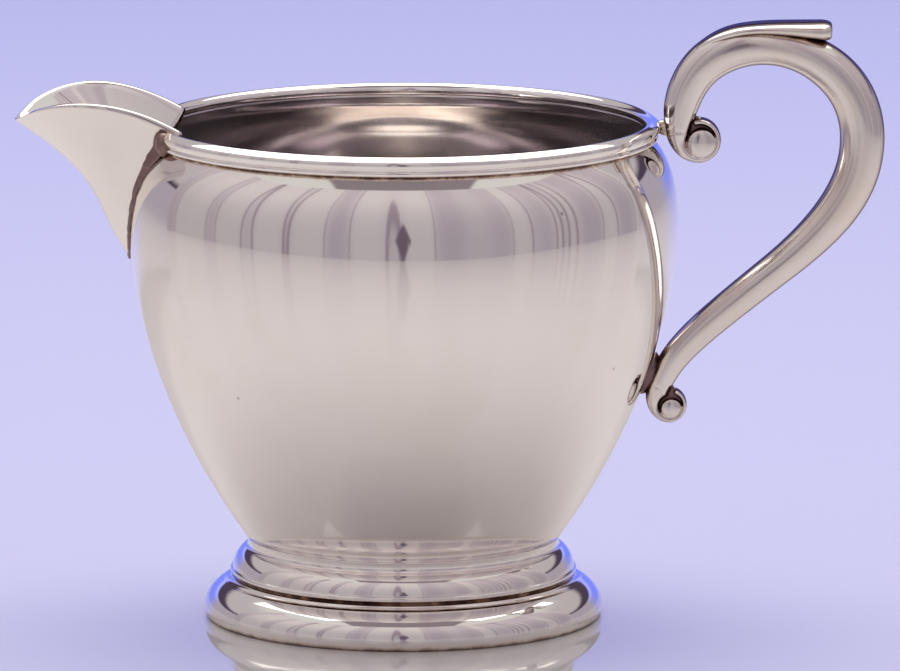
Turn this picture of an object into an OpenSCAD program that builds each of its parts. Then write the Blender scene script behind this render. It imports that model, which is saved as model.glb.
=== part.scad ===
// Footed creamer: a raised bowl with a moulded rim wire, a folded spout, a
// stepped foot and an S-scroll handle with a thumb leaf and curled ends.
// Millimetres, +Z up. The origin is the centre of the face that it stands on.
// The spout points to -X and the handle to +X.

/* [Bowl] */
// Radius of the bowl at its belly, outside
belly_r = 40; // [37:0.5:44]
// Height from the neck up to the belly
belly_rise = 46.2; // [42:0.2:52]
// Height from the belly up to the underside of the rim wire
shoulder_rise = 12.3; // [11:0.1:15]
// Radius of the neck, where the bowl stands on its foot
neck_r = 22.8; // [21:0.2:25]
// Radius of the mouth, outside the sheet
mouth_r = 36.3; // [34.5:0.1:37.5]
// Depth of the bowl's floor below the neck
floor_drop = 4.6; // [3.4:0.1:5.4]
// Lean of the bowl's wall at the neck, from upright
neck_lean = 36; // [30:1:42]
// Thickness of the bowl's sheet
bowl_wall = 0.9; // [0.6:0.1:1.4]

/* [Rim wire] */
// Height of the rim wire, over all
rim_h = 2.8; // [2.4:0.1:3.6]
// Radius of the large round of the wire
rim_round_r = 1.12; // [1:0.02:1.3]
// Radius of the small reed under the round
reed_r = 0.48; // [0.4:0.02:0.6]
// Height of the bowl's lip inside the wire
lip_h = 1.4; // [1:0.1:1.6]

/* [Foot] */
// Widest radius of the base ring
base_r = 29.05; // [27.5:0.05:31]
// Height of the base ring
base_h = 7; // [6:0.1:8.5]
// Radius of the groove between the base ring and the collar
step_r = 24.7; // [24.1:0.1:25.4]
// Height of the collar, from the base ring to the neck
collar_h = 4.8; // [4.2:0.1:6]
// Radius of the bead that edges the collar
bead_r = 0.42; // [0.3:0.02:0.6]
// Thickness of the foot's spun sheet
foot_wall = 1.1; // [0.8:0.1:1.5]
// Width of the flat face that the foot stands on
rest_w = 1.7; // [1.3:0.1:2.2]

/* [Spout] */
// Reach of the spout's tip beyond the belly
spout_reach = 16.5; // [13:0.5:20]
// Width of the spout where it leaves the bowl
spout_w = 24; // [21:0.2:26]
// Length of the spout's nose, where it narrows to the tip
nose_len = 14; // [11:0.5:16]
// Height that the spout's edge arches above the rim
arch_rise = 4; // [3:0.1:5.5]
// Height of the spout's keel over its whole length
keel_drop = 19.8; // [17:0.1:22]
// Thickness of the spout's sheet
spout_wall = 0.8; // [0.6:0.1:1.1]
// Radius of the solder fillet beside the rim wire
fillet_r = 1.3; // [1:0.1:1.6]

/* [Handle] */
// Reach of the handle beyond the rim wire
handle_reach = 33.2; // [29:0.2:38]
// Height of the lower joint, as measured down from the rim
joint_drop = 37.8; // [35:0.2:40]
// Greatest thickness of the handle, seen from the side
handle_t = 6.7; // [5.6:0.1:7.8]
// Greatest width of the handle, seen from above
handle_w = 7.4; // [6.4:0.1:9]
// Radius of the boss in the upper curl
boss_r = 2.15; // [1.9:0.05:2.5]
// Width of the curls' bosses
boss_w = 4.5; // [3.9:0.1:5.4]

/* [Thumb leaf] */
// Length of the leaf from the handle's crown to its tip
leaf_run = 10.5; // [9:0.1:12]
// Height of the leaf's tip above the handle's crown
leaf_rise = 0.8; // [0.6:0.05:2]
// Thickness of the leaf at its tip
leaf_t = 3; // [2.6:0.1:3.6]
// Width of the leaf near its tip
leaf_w = 7.6; // [6.6:0.1:9]

/* [Hidden] */

// Faces round a turned piece
turned_faces = 256;
// Steps along a profile's curve
curve_steps = 14;
// Steps along the bar, round a curl and along the leaf
bar_steps = 15;
curl_steps = 28;
leaf_steps = 26;
// Sides of the handle's section
bar_sides = 18;
leaf_sides = 16;
// Steps along the spout and from its keel to its edge
spout_steps = 24;
side_steps = 9;

// Heights of the joints, from the table up
neck_z = base_h + collar_h;
floor_z = neck_z - floor_drop;
belly_z = neck_z + belly_rise;
shoulder_z = belly_z + shoulder_rise;
lip_z = shoulder_z + lip_h;
rim_z = shoulder_z + rim_h;

// Mixes two values or points
function mix(a, b, t) = a + (b - a) * t;
// A direction in the drawing plane, from its angle
function heading(a) = [cos(a), sin(a)];
// Point and slope of a cubic curve with four control points
function bez(p, t) = pow(1 - t, 3) * p[0] + 3 * pow(1 - t, 2) * t * p[1]
    + 3 * (1 - t) * t * t * p[2] + pow(t, 3) * p[3];
function bez_slope(p, t) = 3 * pow(1 - t, 2) * (p[1] - p[0])
    + 6 * (1 - t) * t * (p[2] - p[1]) + 3 * t * t * (p[3] - p[2]);
// The curve's points, without its first one
function trail(p, n = curve_steps) = [for (i = [1:n]) bez(p, i / n)];
function unit(v) = v / norm(v);
// Moves an open outline sideways, to the left of its travel
function left_of(v) = [-v[1], v[0]];
function inset(pts, d) = [for (i = [0:len(pts) - 1])
    pts[i] + d * unit(left_of(pts[min(i + 1, len(pts) - 1)] - pts[max(i - 1, 0)]))];
function backwards(list) = [for (i = [len(list) - 1:-1:0]) list[i]];
// Points of an arc about c
function arc(c, r, from, to, n) = [for (i = [0:n]) c + r * heading(mix(from, to, i / n))];
// A smooth value from a table of [place, value] rows: a cubic between two rows,
// which leaves each row at the slope of its two neighbours
function row_at(table, x) = max([for (i = [0:len(table) - 2]) if (i == 0 || x >= table[i][0]) i]);
function row_slope(table, i) = let (a = table[max(i - 1, 0)], b = table[min(i + 1, len(table) - 1)])
    (b[1] - a[1]) / (b[0] - a[0]);
function smooth(table, x) = let (i = row_at(table, x), a = table[i], b = table[i + 1],
    gap = b[0] - a[0], lead = [a[1], a[1] + gap * row_slope(table, i) / 3,
    b[1] - gap * row_slope(table, i + 1) / 3, b[1]]) bez(lead, min(max((x - a[0]) / gap, 0), 1));

// Bowl: half of its outline, from the middle of the floor up to the lip
neck_at = [neck_r, neck_z];
neck_slope = [sin(neck_lean), cos(neck_lean)];
belly_at = [belly_r, belly_z];
floor_shares = [0.5, 0.22];
wall_shares = [0.37, 0.32];
shoulder_shares = [0.53, 0.38, 0.78];
floor_curve = [[0, floor_z], [neck_r * floor_shares[0], floor_z],
    neck_at - neck_r * floor_shares[1] * neck_slope, neck_at];
wall_curve = [neck_at, neck_at + belly_rise * wall_shares[0] * neck_slope,
    belly_at - [0, belly_rise * wall_shares[1]], belly_at];
shoulder_curve = [belly_at, belly_at + [0, shoulder_rise * shoulder_shares[0]],
    [mix(belly_r, mouth_r, shoulder_shares[1]), belly_z + shoulder_rise * shoulder_shares[2]],
    [mouth_r, shoulder_z]];
outer_line = concat([[0, floor_z]], trail(floor_curve), trail(wall_curve, 2 * curve_steps),
    trail(shoulder_curve), [[mouth_r, lip_z]]);
inner_line = concat([[0, floor_z + bowl_wall]], inset([for (p = outer_line) if (p[0] > 0) p],
    bowl_wall));
mouth_in_r = mouth_r - bowl_wall;
above_z = rim_z + arch_rise + rim_h;
// Radius of the bowl's outside at a height between the neck and the lip
bowl_rows = [for (p = concat(trail(wall_curve, 3 * curve_steps), trail(shoulder_curve),
    [[mouth_r, lip_z]])) [p[1], p[0]]];
function bowl_r(z) = lookup(z, bowl_rows);

// Turns an outline about the Z axis
module turned(pts) {
    rotate_extrude($fn = turned_faces) polygon(pts);
}

// The whole body that the bowl's outside bounds
module bowl_outside() {
    turned(concat(outer_line, [[0, lip_z]]));
}

// The space inside the bowl, open upwards past the rim and the spout
module bowl_inside() {
    turned(concat([for (p = inner_line) [p[0], min(p[1], lip_z)]],
        [[mouth_in_r, above_z], [0, above_z]]));
}

// Spout: the keel and the edge run from the tip into the bowl, and its sides
// are ruled between them
tip_x = -(belly_r + spout_reach);
root_x = -(mouth_in_r - bowl_wall) * 0.89;
edge_tip = [tip_x, rim_z];
edge_handle_shares = [0.19, 0.57, 1.15, 1.45];
spout_run = root_x - tip_x;
edge_curve = [edge_tip,
    edge_tip + [spout_run * edge_handle_shares[0], arch_rise * edge_handle_shares[2]],
    edge_tip + [spout_run * edge_handle_shares[1], arch_rise * edge_handle_shares[3]],
    [root_x, rim_z - rim_h * 0.4]];
keel_foot_z = rim_z - keel_drop;
keel_lead = spout_wall * 4;
keel_end = [-(bowl_r(keel_foot_z) - keel_lead * 0.8), keel_foot_z - keel_lead];
keel_handle_shares = [0.84, 0.445, 0.5, 0.575];
keel_span = keel_end - edge_tip;
keel_curve = [edge_tip,
    edge_tip + [keel_span[0] * keel_handle_shares[0], keel_span[1] * keel_handle_shares[1]],
    edge_tip + [keel_span[0] * keel_handle_shares[2], keel_span[1] * keel_handle_shares[3]],
    keel_end];
// How the side swells between the keel and the edge, and how the nose narrows
side_swell_share = 0.45;
nose_swell_share = 0.62;
// The inside of the sheet is as far back from the tip and up from the keel
tip_back = spout_wall * 1.4;
keel_up = spout_wall * 1.5;
side_in = spout_wall * 1.12;
function nose(run, length) = let (s = min(max(run / length, 0), 1))
    pow(1 - pow(1 - s, 2), nose_swell_share);
function edge_outside(t) = bez(edge_curve, t);
function edge_inside(t) = edge_outside(t) + [tip_back * (1 - t), 0];
function keel_outside(t) = bez(keel_curve, t);
function keel_inside(t) = let (out = keel_outside(t), up = unit(left_of(-bez_slope(keel_curve, t))),
    lift = min(t * 4, 1)) out + mix([tip_back, 0], keel_up * -up, lift);
function half_outside(t) = spout_w / 2 * nose(edge_outside(t)[0] - tip_x, nose_len);
function half_inside(t) = (spout_w / 2 - side_in)
    * nose(edge_inside(t)[0] - tip_x - tip_back, nose_len - tip_back);
// A point of the side, from the keel at v = 0 to the edge at v = 1
function side_point(keel, edge, half, v) = let (p = mix(keel, edge, v))
    [p[0], half * pow(v, side_swell_share), p[1]];
function outside_point(t, v) = side_point(keel_outside(t), edge_outside(t), half_outside(t), v);
function inside_point(t, v) = side_point(keel_inside(t), edge_inside(t), half_inside(t), v);
side_places = [for (j = [0:side_steps]) pow(j / side_steps, 1.5)];
function mirrored(pts) = [for (p = pts) [p[0], -p[1], p[2]]];
// From the far edge down to the keel and up to the near edge
function across(pts) = concat(backwards(pts), [for (i = [1:len(pts) - 1]) mirrored(pts)[i]]);
spout_places = [for (i = [0:spout_steps]) mix(0.004, 1, pow(i / spout_steps, 1.4))];
outside_rows = [for (t = spout_places) across([for (v = side_places) outside_point(t, v)])];
inside_rows = [for (t = spout_places) across([for (v = side_places) inside_point(t, v)])];

// Closes rings of equal count into a solid; its ends are fans or strips
function flat_list(rows) = [for (row = rows) each row];
function ring_faces(rings, count) = [for (i = [0:rings - 2], j = [0:count - 1])
    let (k = (j + 1) % count, a = i * count, b = a + count)
    each [[a + j, a + k, b + k], [a + j, b + k, b + j]]];
function fan_faces(first, count) = [for (j = [1:count - 2]) [first, first + j + 1, first + j]];
function turned_over(faces) = [for (f = faces) backwards(f)];
module closed_rings(rows) {
    count = len(rows[0]);
    rings = len(rows);
    polyhedron(points = flat_list(rows), faces = concat(ring_faces(rings, count),
        fan_faces(0, count), turned_over(fan_faces((rings - 1) * count, count))), convexity = 6);
}

// The whole body that the spout's outside bounds, with a lid over it
module spout_outside() {
    closed_rings(outside_rows);
}

// Sweeps a section along a path in the XZ plane. Each station is a row of
// [place, direction, half thickness, half width].
function powered(value, square) = sign(value) * pow(abs(value), 2 / square);
function section(station, square, sides) = let (at = station[0], side = left_of(station[1]))
    [for (k = [0:sides - 1]) let (a = 360 * (k + 0.5) / sides,
        across = station[2] * powered(cos(a), square), wide = station[3] * powered(sin(a), square))
        [at[0] + side[0] * across, wide, at[1] + side[1] * across]];
module swept(stations, square, sides) {
    closed_rings([for (s = stations) section(s, square, sides)]);
}

// How far the rim wire's round stands out past the bowl's mouth
round_share = 0.955;

// Handle: places are shares of the reach, measured out from the line between
// the two seats, and of the drop, measured up from the lower joint
seat_z = rim_z - joint_drop;
seat_r = bowl_r(seat_z);
rim_out_r = mouth_r + rim_round_r * round_share;
function handle_place(share) = [handle_reach * share[0]
    + mix(seat_r, rim_out_r, min(share[1] / bar_shares[0][1], 1)), seat_z + joint_drop * share[1]];
// Knots of the bar: place out, place up, heading, and the handles before and after
bar_shares = [[0.075, 0.944, 88, 0, 0.25], [0.431, 1.287, 0, 0.215, 0.24],
    [0.885, 0.926, -90, 0.255, 0.216], [0.538, 0.413, -141.3, 0.32, 0.465],
    [0.053, -0.05, -112, 0.18, 0]];
function knot_place(i) = handle_place(bar_shares[i]);
function knot_heading(i) = heading(bar_shares[i][2]);
bar_curves = [for (i = [0:len(bar_shares) - 2]) [knot_place(i),
    knot_place(i) + handle_reach * bar_shares[i][4] * knot_heading(i),
    knot_place(i + 1) - handle_reach * bar_shares[i + 1][3] * knot_heading(i + 1),
    knot_place(i + 1)]];
bar_spans = len(bar_curves);
// Thickness and width of the bar along its spans, as shares of the greatest
bar_thick_shares = [[0, 0.51], [0.15, 0.74], [0.4, 0.86], [0.75, 0.93], [1.12, 0.84], [1.55, 0.96],
    [2.1, 0.98], [2.5, 0.92], [3, 0.75], [3.5, 0.66], [4, 0.53]];
bar_wide_shares = [[0, 0.68], [0.5, 0.8], [1.3, 1], [2.2, 0.98], [3, 0.8], [3.5, 0.68], [4, 0.6]];
function bar_at(u) = let (i = min(floor(u), bar_spans - 1)) bez(bar_curves[i], u - i);
function bar_heading(u) = let (i = min(floor(u), bar_spans - 1))
    unit(bez_slope(bar_curves[i], u - i));
function bar_half_t(u) = handle_t / 2 * smooth(bar_thick_shares, u);
function bar_half_w(u) = handle_w / 2 * smooth(bar_wide_shares, u);
bar_square_share = 2.5;
bar_stations = [for (i = [0:bar_spans * bar_steps]) let (u = i / bar_steps)
    [bar_at(u), bar_heading(u), bar_half_t(u), bar_half_w(u)]];

// A curl winds in from the bar's end round its boss and thins to a fine edge.
// Its turn is how far it winds, and its ends are shares of its boss's radius
curl_end_share = 1.15;
curl_thin_share = 0.2;
curl_narrow_share = 0.8;
// How soon its radius and its thickness settle
radius_haste = 4.5;
thin_haste = 5.5;
// A recessed web joins the curl, the boss and the bar. Its rows are its place
// about the boss, its distance and its radius as shares of the boss's radius
web_w_share = 0.5;
upper_web_shares = [105, 1.1, 0.56];
lower_web_shares = [92, 1.5, 0.7];
function curl_centre(end, start, radius) = end - radius * heading(start);
function curl_station(centre, start, turn, radius, boss, half_t, half_w, s) =
    let (fade = pow(1 - s, radius_haste), thin = pow(1 - s, thin_haste), a = start + turn * s,
        last = boss * curl_end_share, r = mix(last, radius, fade),
        drift = -radius_haste * pow(1 - s, radius_haste - 1) * (radius - last) / (turn * PI / 180))
    [centre + r * heading(a), unit(r * left_of(heading(a)) + drift * heading(a)),
        mix(boss * curl_thin_share, half_t, thin), mix(half_w * curl_narrow_share, half_w, thin)];
module curl(centre, start, turn, radius, boss, web, half_t, half_w) {
    web_at = centre + boss * web[1] * heading(web[0]);
    web_w = boss_w * web_w_share;
    swept([for (i = [0:curl_steps])
        curl_station(centre, start, turn, radius, boss, half_t, half_w, i / curl_steps)],
        bar_square_share, bar_sides);
    translate([centre[0], 0, centre[1]]) rotate([90, 0, 0]) boss(boss);
    translate([web_at[0], web_w / 2, web_at[1]]) rotate([90, 0, 0])
        cylinder(r = boss * web[2], h = web_w, $fn = 32);
}

// Domed boss in the middle of a curl, turned about its own Z axis
boss_edge_share = 0.55;
module boss(r) {
    half = boss_w / 2 * r / boss_r;
    side = half * boss_edge_share;
    dome = [[r, side], [r, half * 0.85], [r * 0.6, half], [0, half]];
    top = trail(dome, 8);
    rotate_extrude($fn = 48) polygon(concat([[0, -half]], backwards([for (p = top)
        if (p[0] > 0) [p[0], -p[1]]]), [[r, -side], [r, side]], top));
}

// Where each curl starts about its boss, how far it winds and its first radius
upper_start_angle = 164;
upper_turn_angle = 288;
upper_radius = boss_r * 1.64;
lower_boss_r = boss_r * 0.77;
lower_start_angle = 125.5;
lower_turn_angle = 298;
lower_radius = lower_boss_r * 1.92;

module upper_curl_body() {
    centre = curl_centre(bar_at(0), upper_start_angle, upper_radius);
    curl(centre, upper_start_angle, upper_turn_angle, upper_radius, boss_r, upper_web_shares,
        bar_half_t(0), bar_half_w(0));
}

module lower_curl_body() {
    centre = curl_centre(bar_at(bar_spans), lower_start_angle, lower_radius);
    curl(centre, lower_start_angle, lower_turn_angle, lower_radius, lower_boss_r,
        lower_web_shares, bar_half_t(bar_spans), bar_half_w(bar_spans));
}

module bar_body() {
    swept(bar_stations, bar_square_share, bar_sides);
}

// Thumb leaf: it rises along the bar's back and ends in a rounded nub
leaf_from_share = 0.58;
leaf_sink_share = 0.8;
leaf_root = bar_at(leaf_from_share) + bar_half_t(leaf_from_share) * leaf_sink_share
    * left_of(bar_heading(leaf_from_share));
crown = bar_at(1) + [0, bar_half_t(1)];
leaf_tip = crown + [leaf_run, leaf_rise - leaf_t / 2];
leaf_handle_shares = [0.64, 0.76, 0.45];
leaf_curve = [leaf_root, leaf_root + leaf_run * leaf_handle_shares[0] * bar_heading(leaf_from_share),
    leaf_tip - [leaf_run * leaf_handle_shares[1], -leaf_rise * leaf_handle_shares[2]], leaf_tip];
leaf_thick_shares = [[0, 0.35], [0.25, 0.52], [0.5, 0.56], [0.72, 0.7], [1, 1]];
leaf_wide_shares = [[0, 0.42], [0.3, 0.62], [0.6, 0.84], [0.85, 1], [1, 0.96]];
// The last stretch rounds over
nub_share = 0.07;
function nub(s) = let (left = max(1 - s, 0) / nub_share)
    left >= 1 ? 1 : mix(0.6, 1, sqrt(1 - pow(1 - left, 2)));
leaf_square_share = 2.7;
leaf_places = [for (i = [0:leaf_steps]) 1 - pow(1 - i / leaf_steps, 1.3)];
leaf_stations = [for (s = leaf_places) [bez(leaf_curve, s), unit(bez_slope(leaf_curve, s)),
    leaf_t / 2 * smooth(leaf_thick_shares, s) * nub(s),
    leaf_w / 2 * smooth(leaf_wide_shares, s) * nub(s)]];

// Solder: the fillet follows the line where the spout's outside meets the bowl
function outside_gap(t, v) = let (p = outside_point(t, v)) norm([p[0], p[1]]) - bowl_r(p[2]);
function meeting(v, low = 0, high = 1, n = 16) = n == 0 ? (low + high) / 2
    : let (t = (low + high) / 2) outside_gap(t, v) > 0 ? meeting(v, t, high, n - 1)
    : meeting(v, low, t, n - 1);
fillet_steps = 14;
fillet_sides = 8;
// The fillet starts thin at the keel and ends in a rounded knob at the edge
fillet_least_share = 0.3;
fillet_top_share = 0.96;
fillet_knob_shares = [0.5, 0.14];
function fillet_at(s) = let (v = fillet_top_share * pow(abs(s), 1.3), p = outside_point(meeting(v), v))
    [p[0], sign(s) * p[1], p[2]];
function fillet_half(s) = let (left = min((1 - abs(s)) / fillet_knob_shares[1], 1))
    fillet_r * mix(fillet_least_share, 1, pow(abs(s), 2.5))
    * mix(fillet_knob_shares[0], 1, sqrt(1 - pow(1 - left, 2)));
function fillet_ring(s) = let (step = 0.5 / fillet_steps, at = fillet_at(s),
    along = unit(fillet_at(s + step) - fillet_at(s - step)),
    out = unit(cross(along, [0, 0, 1])), up = cross(out, along), half = fillet_half(s))
    [for (k = [0:fillet_sides - 1]) let (a = 360 * k / fillet_sides)
        at + half * (cos(a) * out + sin(a) * up)];
module fillet_body() {
    closed_rings([for (i = [-fillet_steps:fillet_steps]) fillet_ring(i / fillet_steps)]);
}

module bowl() {
    color("silver") difference() {
        bowl_outside();
        bowl_inside();
        spout_outside();
    }
}

// Outline of the rim wire: a seat for the lip, a small reed and a large round
reed_in_share = 0.27;
round_at = [rim_out_r - rim_round_r, rim_z - rim_round_r];
reed_at = [mouth_r + rim_round_r * (1 - reed_in_share) - reed_r, shoulder_z + reed_r];
reed_angles = [-90, 55];
round_angles = [-32, 205];
rim_outline = concat([[mouth_r, lip_z], [mouth_r, shoulder_z]],
    arc(reed_at, reed_r, reed_angles[0], reed_angles[1], 8),
    arc(round_at, rim_round_r, round_angles[0], round_angles[1], 24), [[mouth_in_r, lip_z]]);

module rim_ring() {
    turned(rim_outline);
}

// The wire's ends stand clear of the spout, with room for the fillet's knob
rim_gap_half = spout_w / 2 + fillet_r * 0.35;
module rim_wire() {
    color("lightgray") difference() {
        rim_ring();
        translate([-2 * rim_out_r, -rim_gap_half, 0])
            cube([2 * rim_out_r, 2 * rim_gap_half, 2 * rim_z]);
    }
}

module spout() {
    count = len(outside_rows[0]);
    rows = [for (i = [0:spout_steps]) concat(outside_rows[i], backwards(inside_rows[i]))];
    ring = 2 * count;
    last = spout_steps * ring;
    strip = [for (j = [0:count - 2]) each [[j, ring - 2 - j, j + 1], [j, ring - 1 - j, ring - 2 - j]]];
    color("gainsboro") difference() {
        polyhedron(points = flat_list(rows), faces = concat(ring_faces(spout_steps + 1, ring),
            strip, [for (f = strip) [f[0] + last, f[2] + last, f[1] + last]]), convexity = 8);
        bowl_inside();
    }
}

module spout_solder() {
    color("rosybrown") difference() {
        fillet_body();
        bowl_outside();
        bowl_inside();
        spout_outside();
    }
}

// Collar of the foot: it rises from the groove by a bead and a round to the neck
bead_at = [step_r + bead_r * 0.4, base_h + bead_r];
cove_r = collar_h * 0.16;
collar_foot = [step_r + bead_r * 0.7, base_h + 2 * bead_r];
collar_round = [[neck_r + cove_r * 0.3, neck_z - cove_r * 2], [mix(neck_r, step_r, 0.6),
    neck_z - cove_r * 2.5], [collar_foot[0] - bead_r * 0.6, mix(neck_z, collar_foot[1], 0.65)],
    collar_foot];
collar_cove = [[neck_r + cove_r * 0.13, neck_z + cove_r * 0.13], [neck_r - cove_r * 0.3,
    neck_z - cove_r], [neck_r - cove_r * 0.2, neck_z - cove_r * 1.7], collar_round[0]];
bead_angle = 70;
collar_line = concat([collar_cove[0]], trail(collar_cove, 8), trail(collar_round, 10),
    arc(bead_at, bead_r, bead_angle, -bead_angle, 8), [[step_r, base_h]]);

module foot_collar() {
    outline = concat(collar_line, backwards(inset(collar_line, -foot_wall)));
    color("silver") difference() {
        turned([for (p = outline) [p[0], max(p[1], base_h)]]);
        bowl_outside();
    }
}

// Base ring: a cove under the groove, a full round and the face that it stands on
ring_w = base_r - step_r;
rest_out_r = base_r - ring_w * 0.1;
cove_foot = [step_r + ring_w * 0.33, base_h * 0.76];
base_cove = [[step_r, base_h], [step_r + ring_w * 0.02, base_h * 0.88],
    [step_r + ring_w * 0.16, base_h * 0.8], cove_foot];
base_widest = [base_r, base_h * 0.18];
base_round = [cove_foot, [step_r + ring_w * 0.7, base_h * 0.66],
    [base_r + ring_w * 0.02, base_h * 0.46], base_widest];
base_under = [base_widest, [base_r - ring_w * 0.01, base_h * 0.08],
    [base_r - ring_w * 0.05, base_h * 0.03], [rest_out_r, 0]];
base_line = concat([[step_r, base_h]], trail(base_cove, 8), trail(base_round, 14),
    trail(base_under, 5));

module foot_base() {
    inner = [for (p = inset(base_line, -foot_wall)) if (p[1] > base_h * 0.12) p];
    color("silver") turned([for (p = concat(base_line, [[rest_out_r - rest_w, 0]], backwards(inner)))
        [p[0], min(p[1], base_h)]]);
}

module handle_bar() {
    color("darkgray") difference() {
        bar_body();
        bowl_outside();
    }
}

module thumb_leaf() {
    color("lightgray") difference() {
        swept(leaf_stations, leaf_square_share, leaf_sides);
        bar_body();
    }
}

module upper_curl() {
    color("darkgray") difference() {
        upper_curl_body();
        bar_body();
        bowl_outside();
    }
}

module lower_curl() {
    color("darkgray") difference() {
        lower_curl_body();
        bar_body();
        bowl_outside();
    }
}

// Solder between the rim wire and the handle: a short rod that both are cut into
upper_solder_r = rim_h * 0.45;
upper_sink_shares = [0.4, 0.6];
module upper_solder() {
    from = rim_out_r - rim_round_r * upper_sink_shares[0];
    to = bar_at(0)[0] - bar_half_t(0) * upper_sink_shares[1];
    color("rosybrown") difference() {
        translate([from, 0, rim_z - rim_h / 2]) rotate([0, 90, 0])
            cylinder(r = upper_solder_r, h = to - from, $fn = 32);
        rim_ring();
        bar_body();
        upper_curl_body();
        bowl_outside();
    }
}

// Solder between the bowl and the handle's lower end: a pad that lies on the bowl
pad_h = handle_t * 0.93;
pad_top_z = seat_z + handle_t * 0.52;
pad_half = handle_t * 0.22;
pad_wide_share = 1.7;
pad_least_share = 0.15;
pad_steps = 10;
function pad_station(s) = let (z = pad_top_z - pad_h * s, near = pad_h / pad_steps,
    half = pad_half * sqrt(max(1 - pow(2 * s - 1, 2), pow(pad_least_share, 2))))
    [[bowl_r(z), z], unit([bowl_r(z - near) - bowl_r(z + near), -2 * near]), half,
        half * pad_wide_share];
module lower_solder() {
    color("rosybrown") difference() {
        swept([for (i = [0:pad_steps]) pad_station(i / pad_steps)], 2, fillet_sides);
        bowl_outside();
        bar_body();
        lower_curl_body();
    }
}

bowl();
rim_wire();
spout();
spout_solder();
foot_collar();
foot_base();
handle_bar();
thumb_leaf();
upper_curl();
lower_curl();
upper_solder();
lower_solder();
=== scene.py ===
# %% [markdown]
# # A footed silver creamer
# This lesson dresses a imported CAD model of a creamer. The CAD nodes give every size and
# place, and each one is stood for here by a smooth, dense mesh of the same form, because
# polished silver shows the smallest flat in a coarse one. The frame is loaded first.

# %% Load the frame
import math

import bmesh
import bpy
import numpy as np
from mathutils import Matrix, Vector, noise


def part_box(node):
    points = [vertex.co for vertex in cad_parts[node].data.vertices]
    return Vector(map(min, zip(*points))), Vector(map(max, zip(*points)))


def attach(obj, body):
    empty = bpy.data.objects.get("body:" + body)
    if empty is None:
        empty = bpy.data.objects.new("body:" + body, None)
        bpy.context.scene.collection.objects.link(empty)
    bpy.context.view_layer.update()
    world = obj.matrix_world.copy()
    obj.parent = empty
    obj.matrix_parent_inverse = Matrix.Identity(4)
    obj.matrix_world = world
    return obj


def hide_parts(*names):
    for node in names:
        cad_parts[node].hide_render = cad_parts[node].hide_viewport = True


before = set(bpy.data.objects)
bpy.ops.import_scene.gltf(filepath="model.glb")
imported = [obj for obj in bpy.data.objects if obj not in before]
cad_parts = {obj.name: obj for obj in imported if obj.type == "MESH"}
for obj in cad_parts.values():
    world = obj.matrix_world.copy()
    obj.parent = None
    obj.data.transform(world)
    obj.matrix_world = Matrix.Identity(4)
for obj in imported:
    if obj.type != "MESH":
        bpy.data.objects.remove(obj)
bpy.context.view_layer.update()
print("nodes:", len(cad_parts))

# %% [markdown]
# The camera comes before the pieces. The photograph was taken from a metre and a half away
# with a long lens, a little above the rim, so the mouth is a flat ellipse. Its height and
# distance follow from how that ellipse and the foot's are flattened. The lens is worked out
# from the width of one pixel at the creamer's axis.

# %% Camera
MM = 0.001
CAMERA_AT = Vector((0, -1500, 302)) * MM
AIM_AT = Vector((6.81, 0, 41.2)) * MM
PICTURE_WIDE = 900
PIXEL = 0.1465 * MM
SENSOR_MM = 36

camera_data = bpy.data.cameras.new("camera")
camera_data.sensor_width = SENSOR_MM
camera_data.lens = SENSOR_MM * CAMERA_AT.length / (PIXEL * PICTURE_WIDE)
camera = bpy.data.objects.new("camera", camera_data)
camera.location = CAMERA_AT
camera.rotation_euler = (AIM_AT - CAMERA_AT).to_track_quat("-Z", "Y").to_euler()
bpy.context.scene.collection.objects.link(camera)
bpy.context.scene.camera = camera
bpy.context.scene.view_settings.view_transform = "Standard"
print("lens, mm:", round(camera_data.lens, 1))

# %% [markdown]
# Every form here is a curve that is turned, swept or bent. A cubic curve with four control
# points gives the smooth stretches, just as in the CAD source, and an arc gives the round
# ones. An outline is an array of points, so that one call can work on all of them at once.

# %% Curves
def mix(a, b, t):
    return a + (b - a) * t


def smoothstep(low, high, value):
    share = np.clip((value - low) / (high - low), 0, 1)
    return share * share * (3 - 2 * share)


def cubic(points, t):
    points, t = np.asarray(points, float), np.asarray(t, float)[..., None]
    return ((1 - t) ** 3 * points[0] + 3 * (1 - t) ** 2 * t * points[1]
            + 3 * (1 - t) * t * t * points[2] + t ** 3 * points[3])


def cubic_slope(points, t):
    points, t = np.asarray(points, float), np.asarray(t, float)[..., None]
    return (3 * (1 - t) ** 2 * (points[1] - points[0])
            + 6 * (1 - t) * t * (points[2] - points[1]) + 3 * t * t * (points[3] - points[2]))


def trail(points, steps):
    """A cubic curve's points without its first one, which the stretch before it has."""
    return cubic(points, np.linspace(0, 1, steps + 1)[1:])


print("a cubic half way:", cubic([(0, 0), (0, 1), (1, 1), (1, 0)], 0.5))

# %% [markdown]
# Directions need a few helpers too. A wall's inner face is its outline moved sideways by the
# wall's thickness, so a slope is made one long and turned to the left. Headings are given in
# degrees, as they would be read off a drawing.

# %% Directions
def unit(v):
    v = np.asarray(v, float)
    return v / np.linalg.norm(v, axis=-1, keepdims=True)


def left_of(v):
    v = np.asarray(v, float)
    return np.stack([-v[..., 1], v[..., 0]], -1)


def heading(degrees):
    return np.array([math.cos(math.radians(degrees)), math.sin(math.radians(degrees))])


def spokes(degrees):
    """One direction for each of many angles."""
    return np.stack([np.cos(np.radians(degrees)), np.sin(np.radians(degrees))], -1)


def arc(centre, radius, start, end, steps):
    return centre + radius * spokes(np.linspace(start, end, steps + 1))


def inset(line, depth):
    slope = np.gradient(line, axis=0)
    return line + depth * left_of(unit(slope))


print("an arc's ends:", arc((0, 0), 1, 0, 90, 8)[[0, -1]].round(3).tolist())

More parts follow.
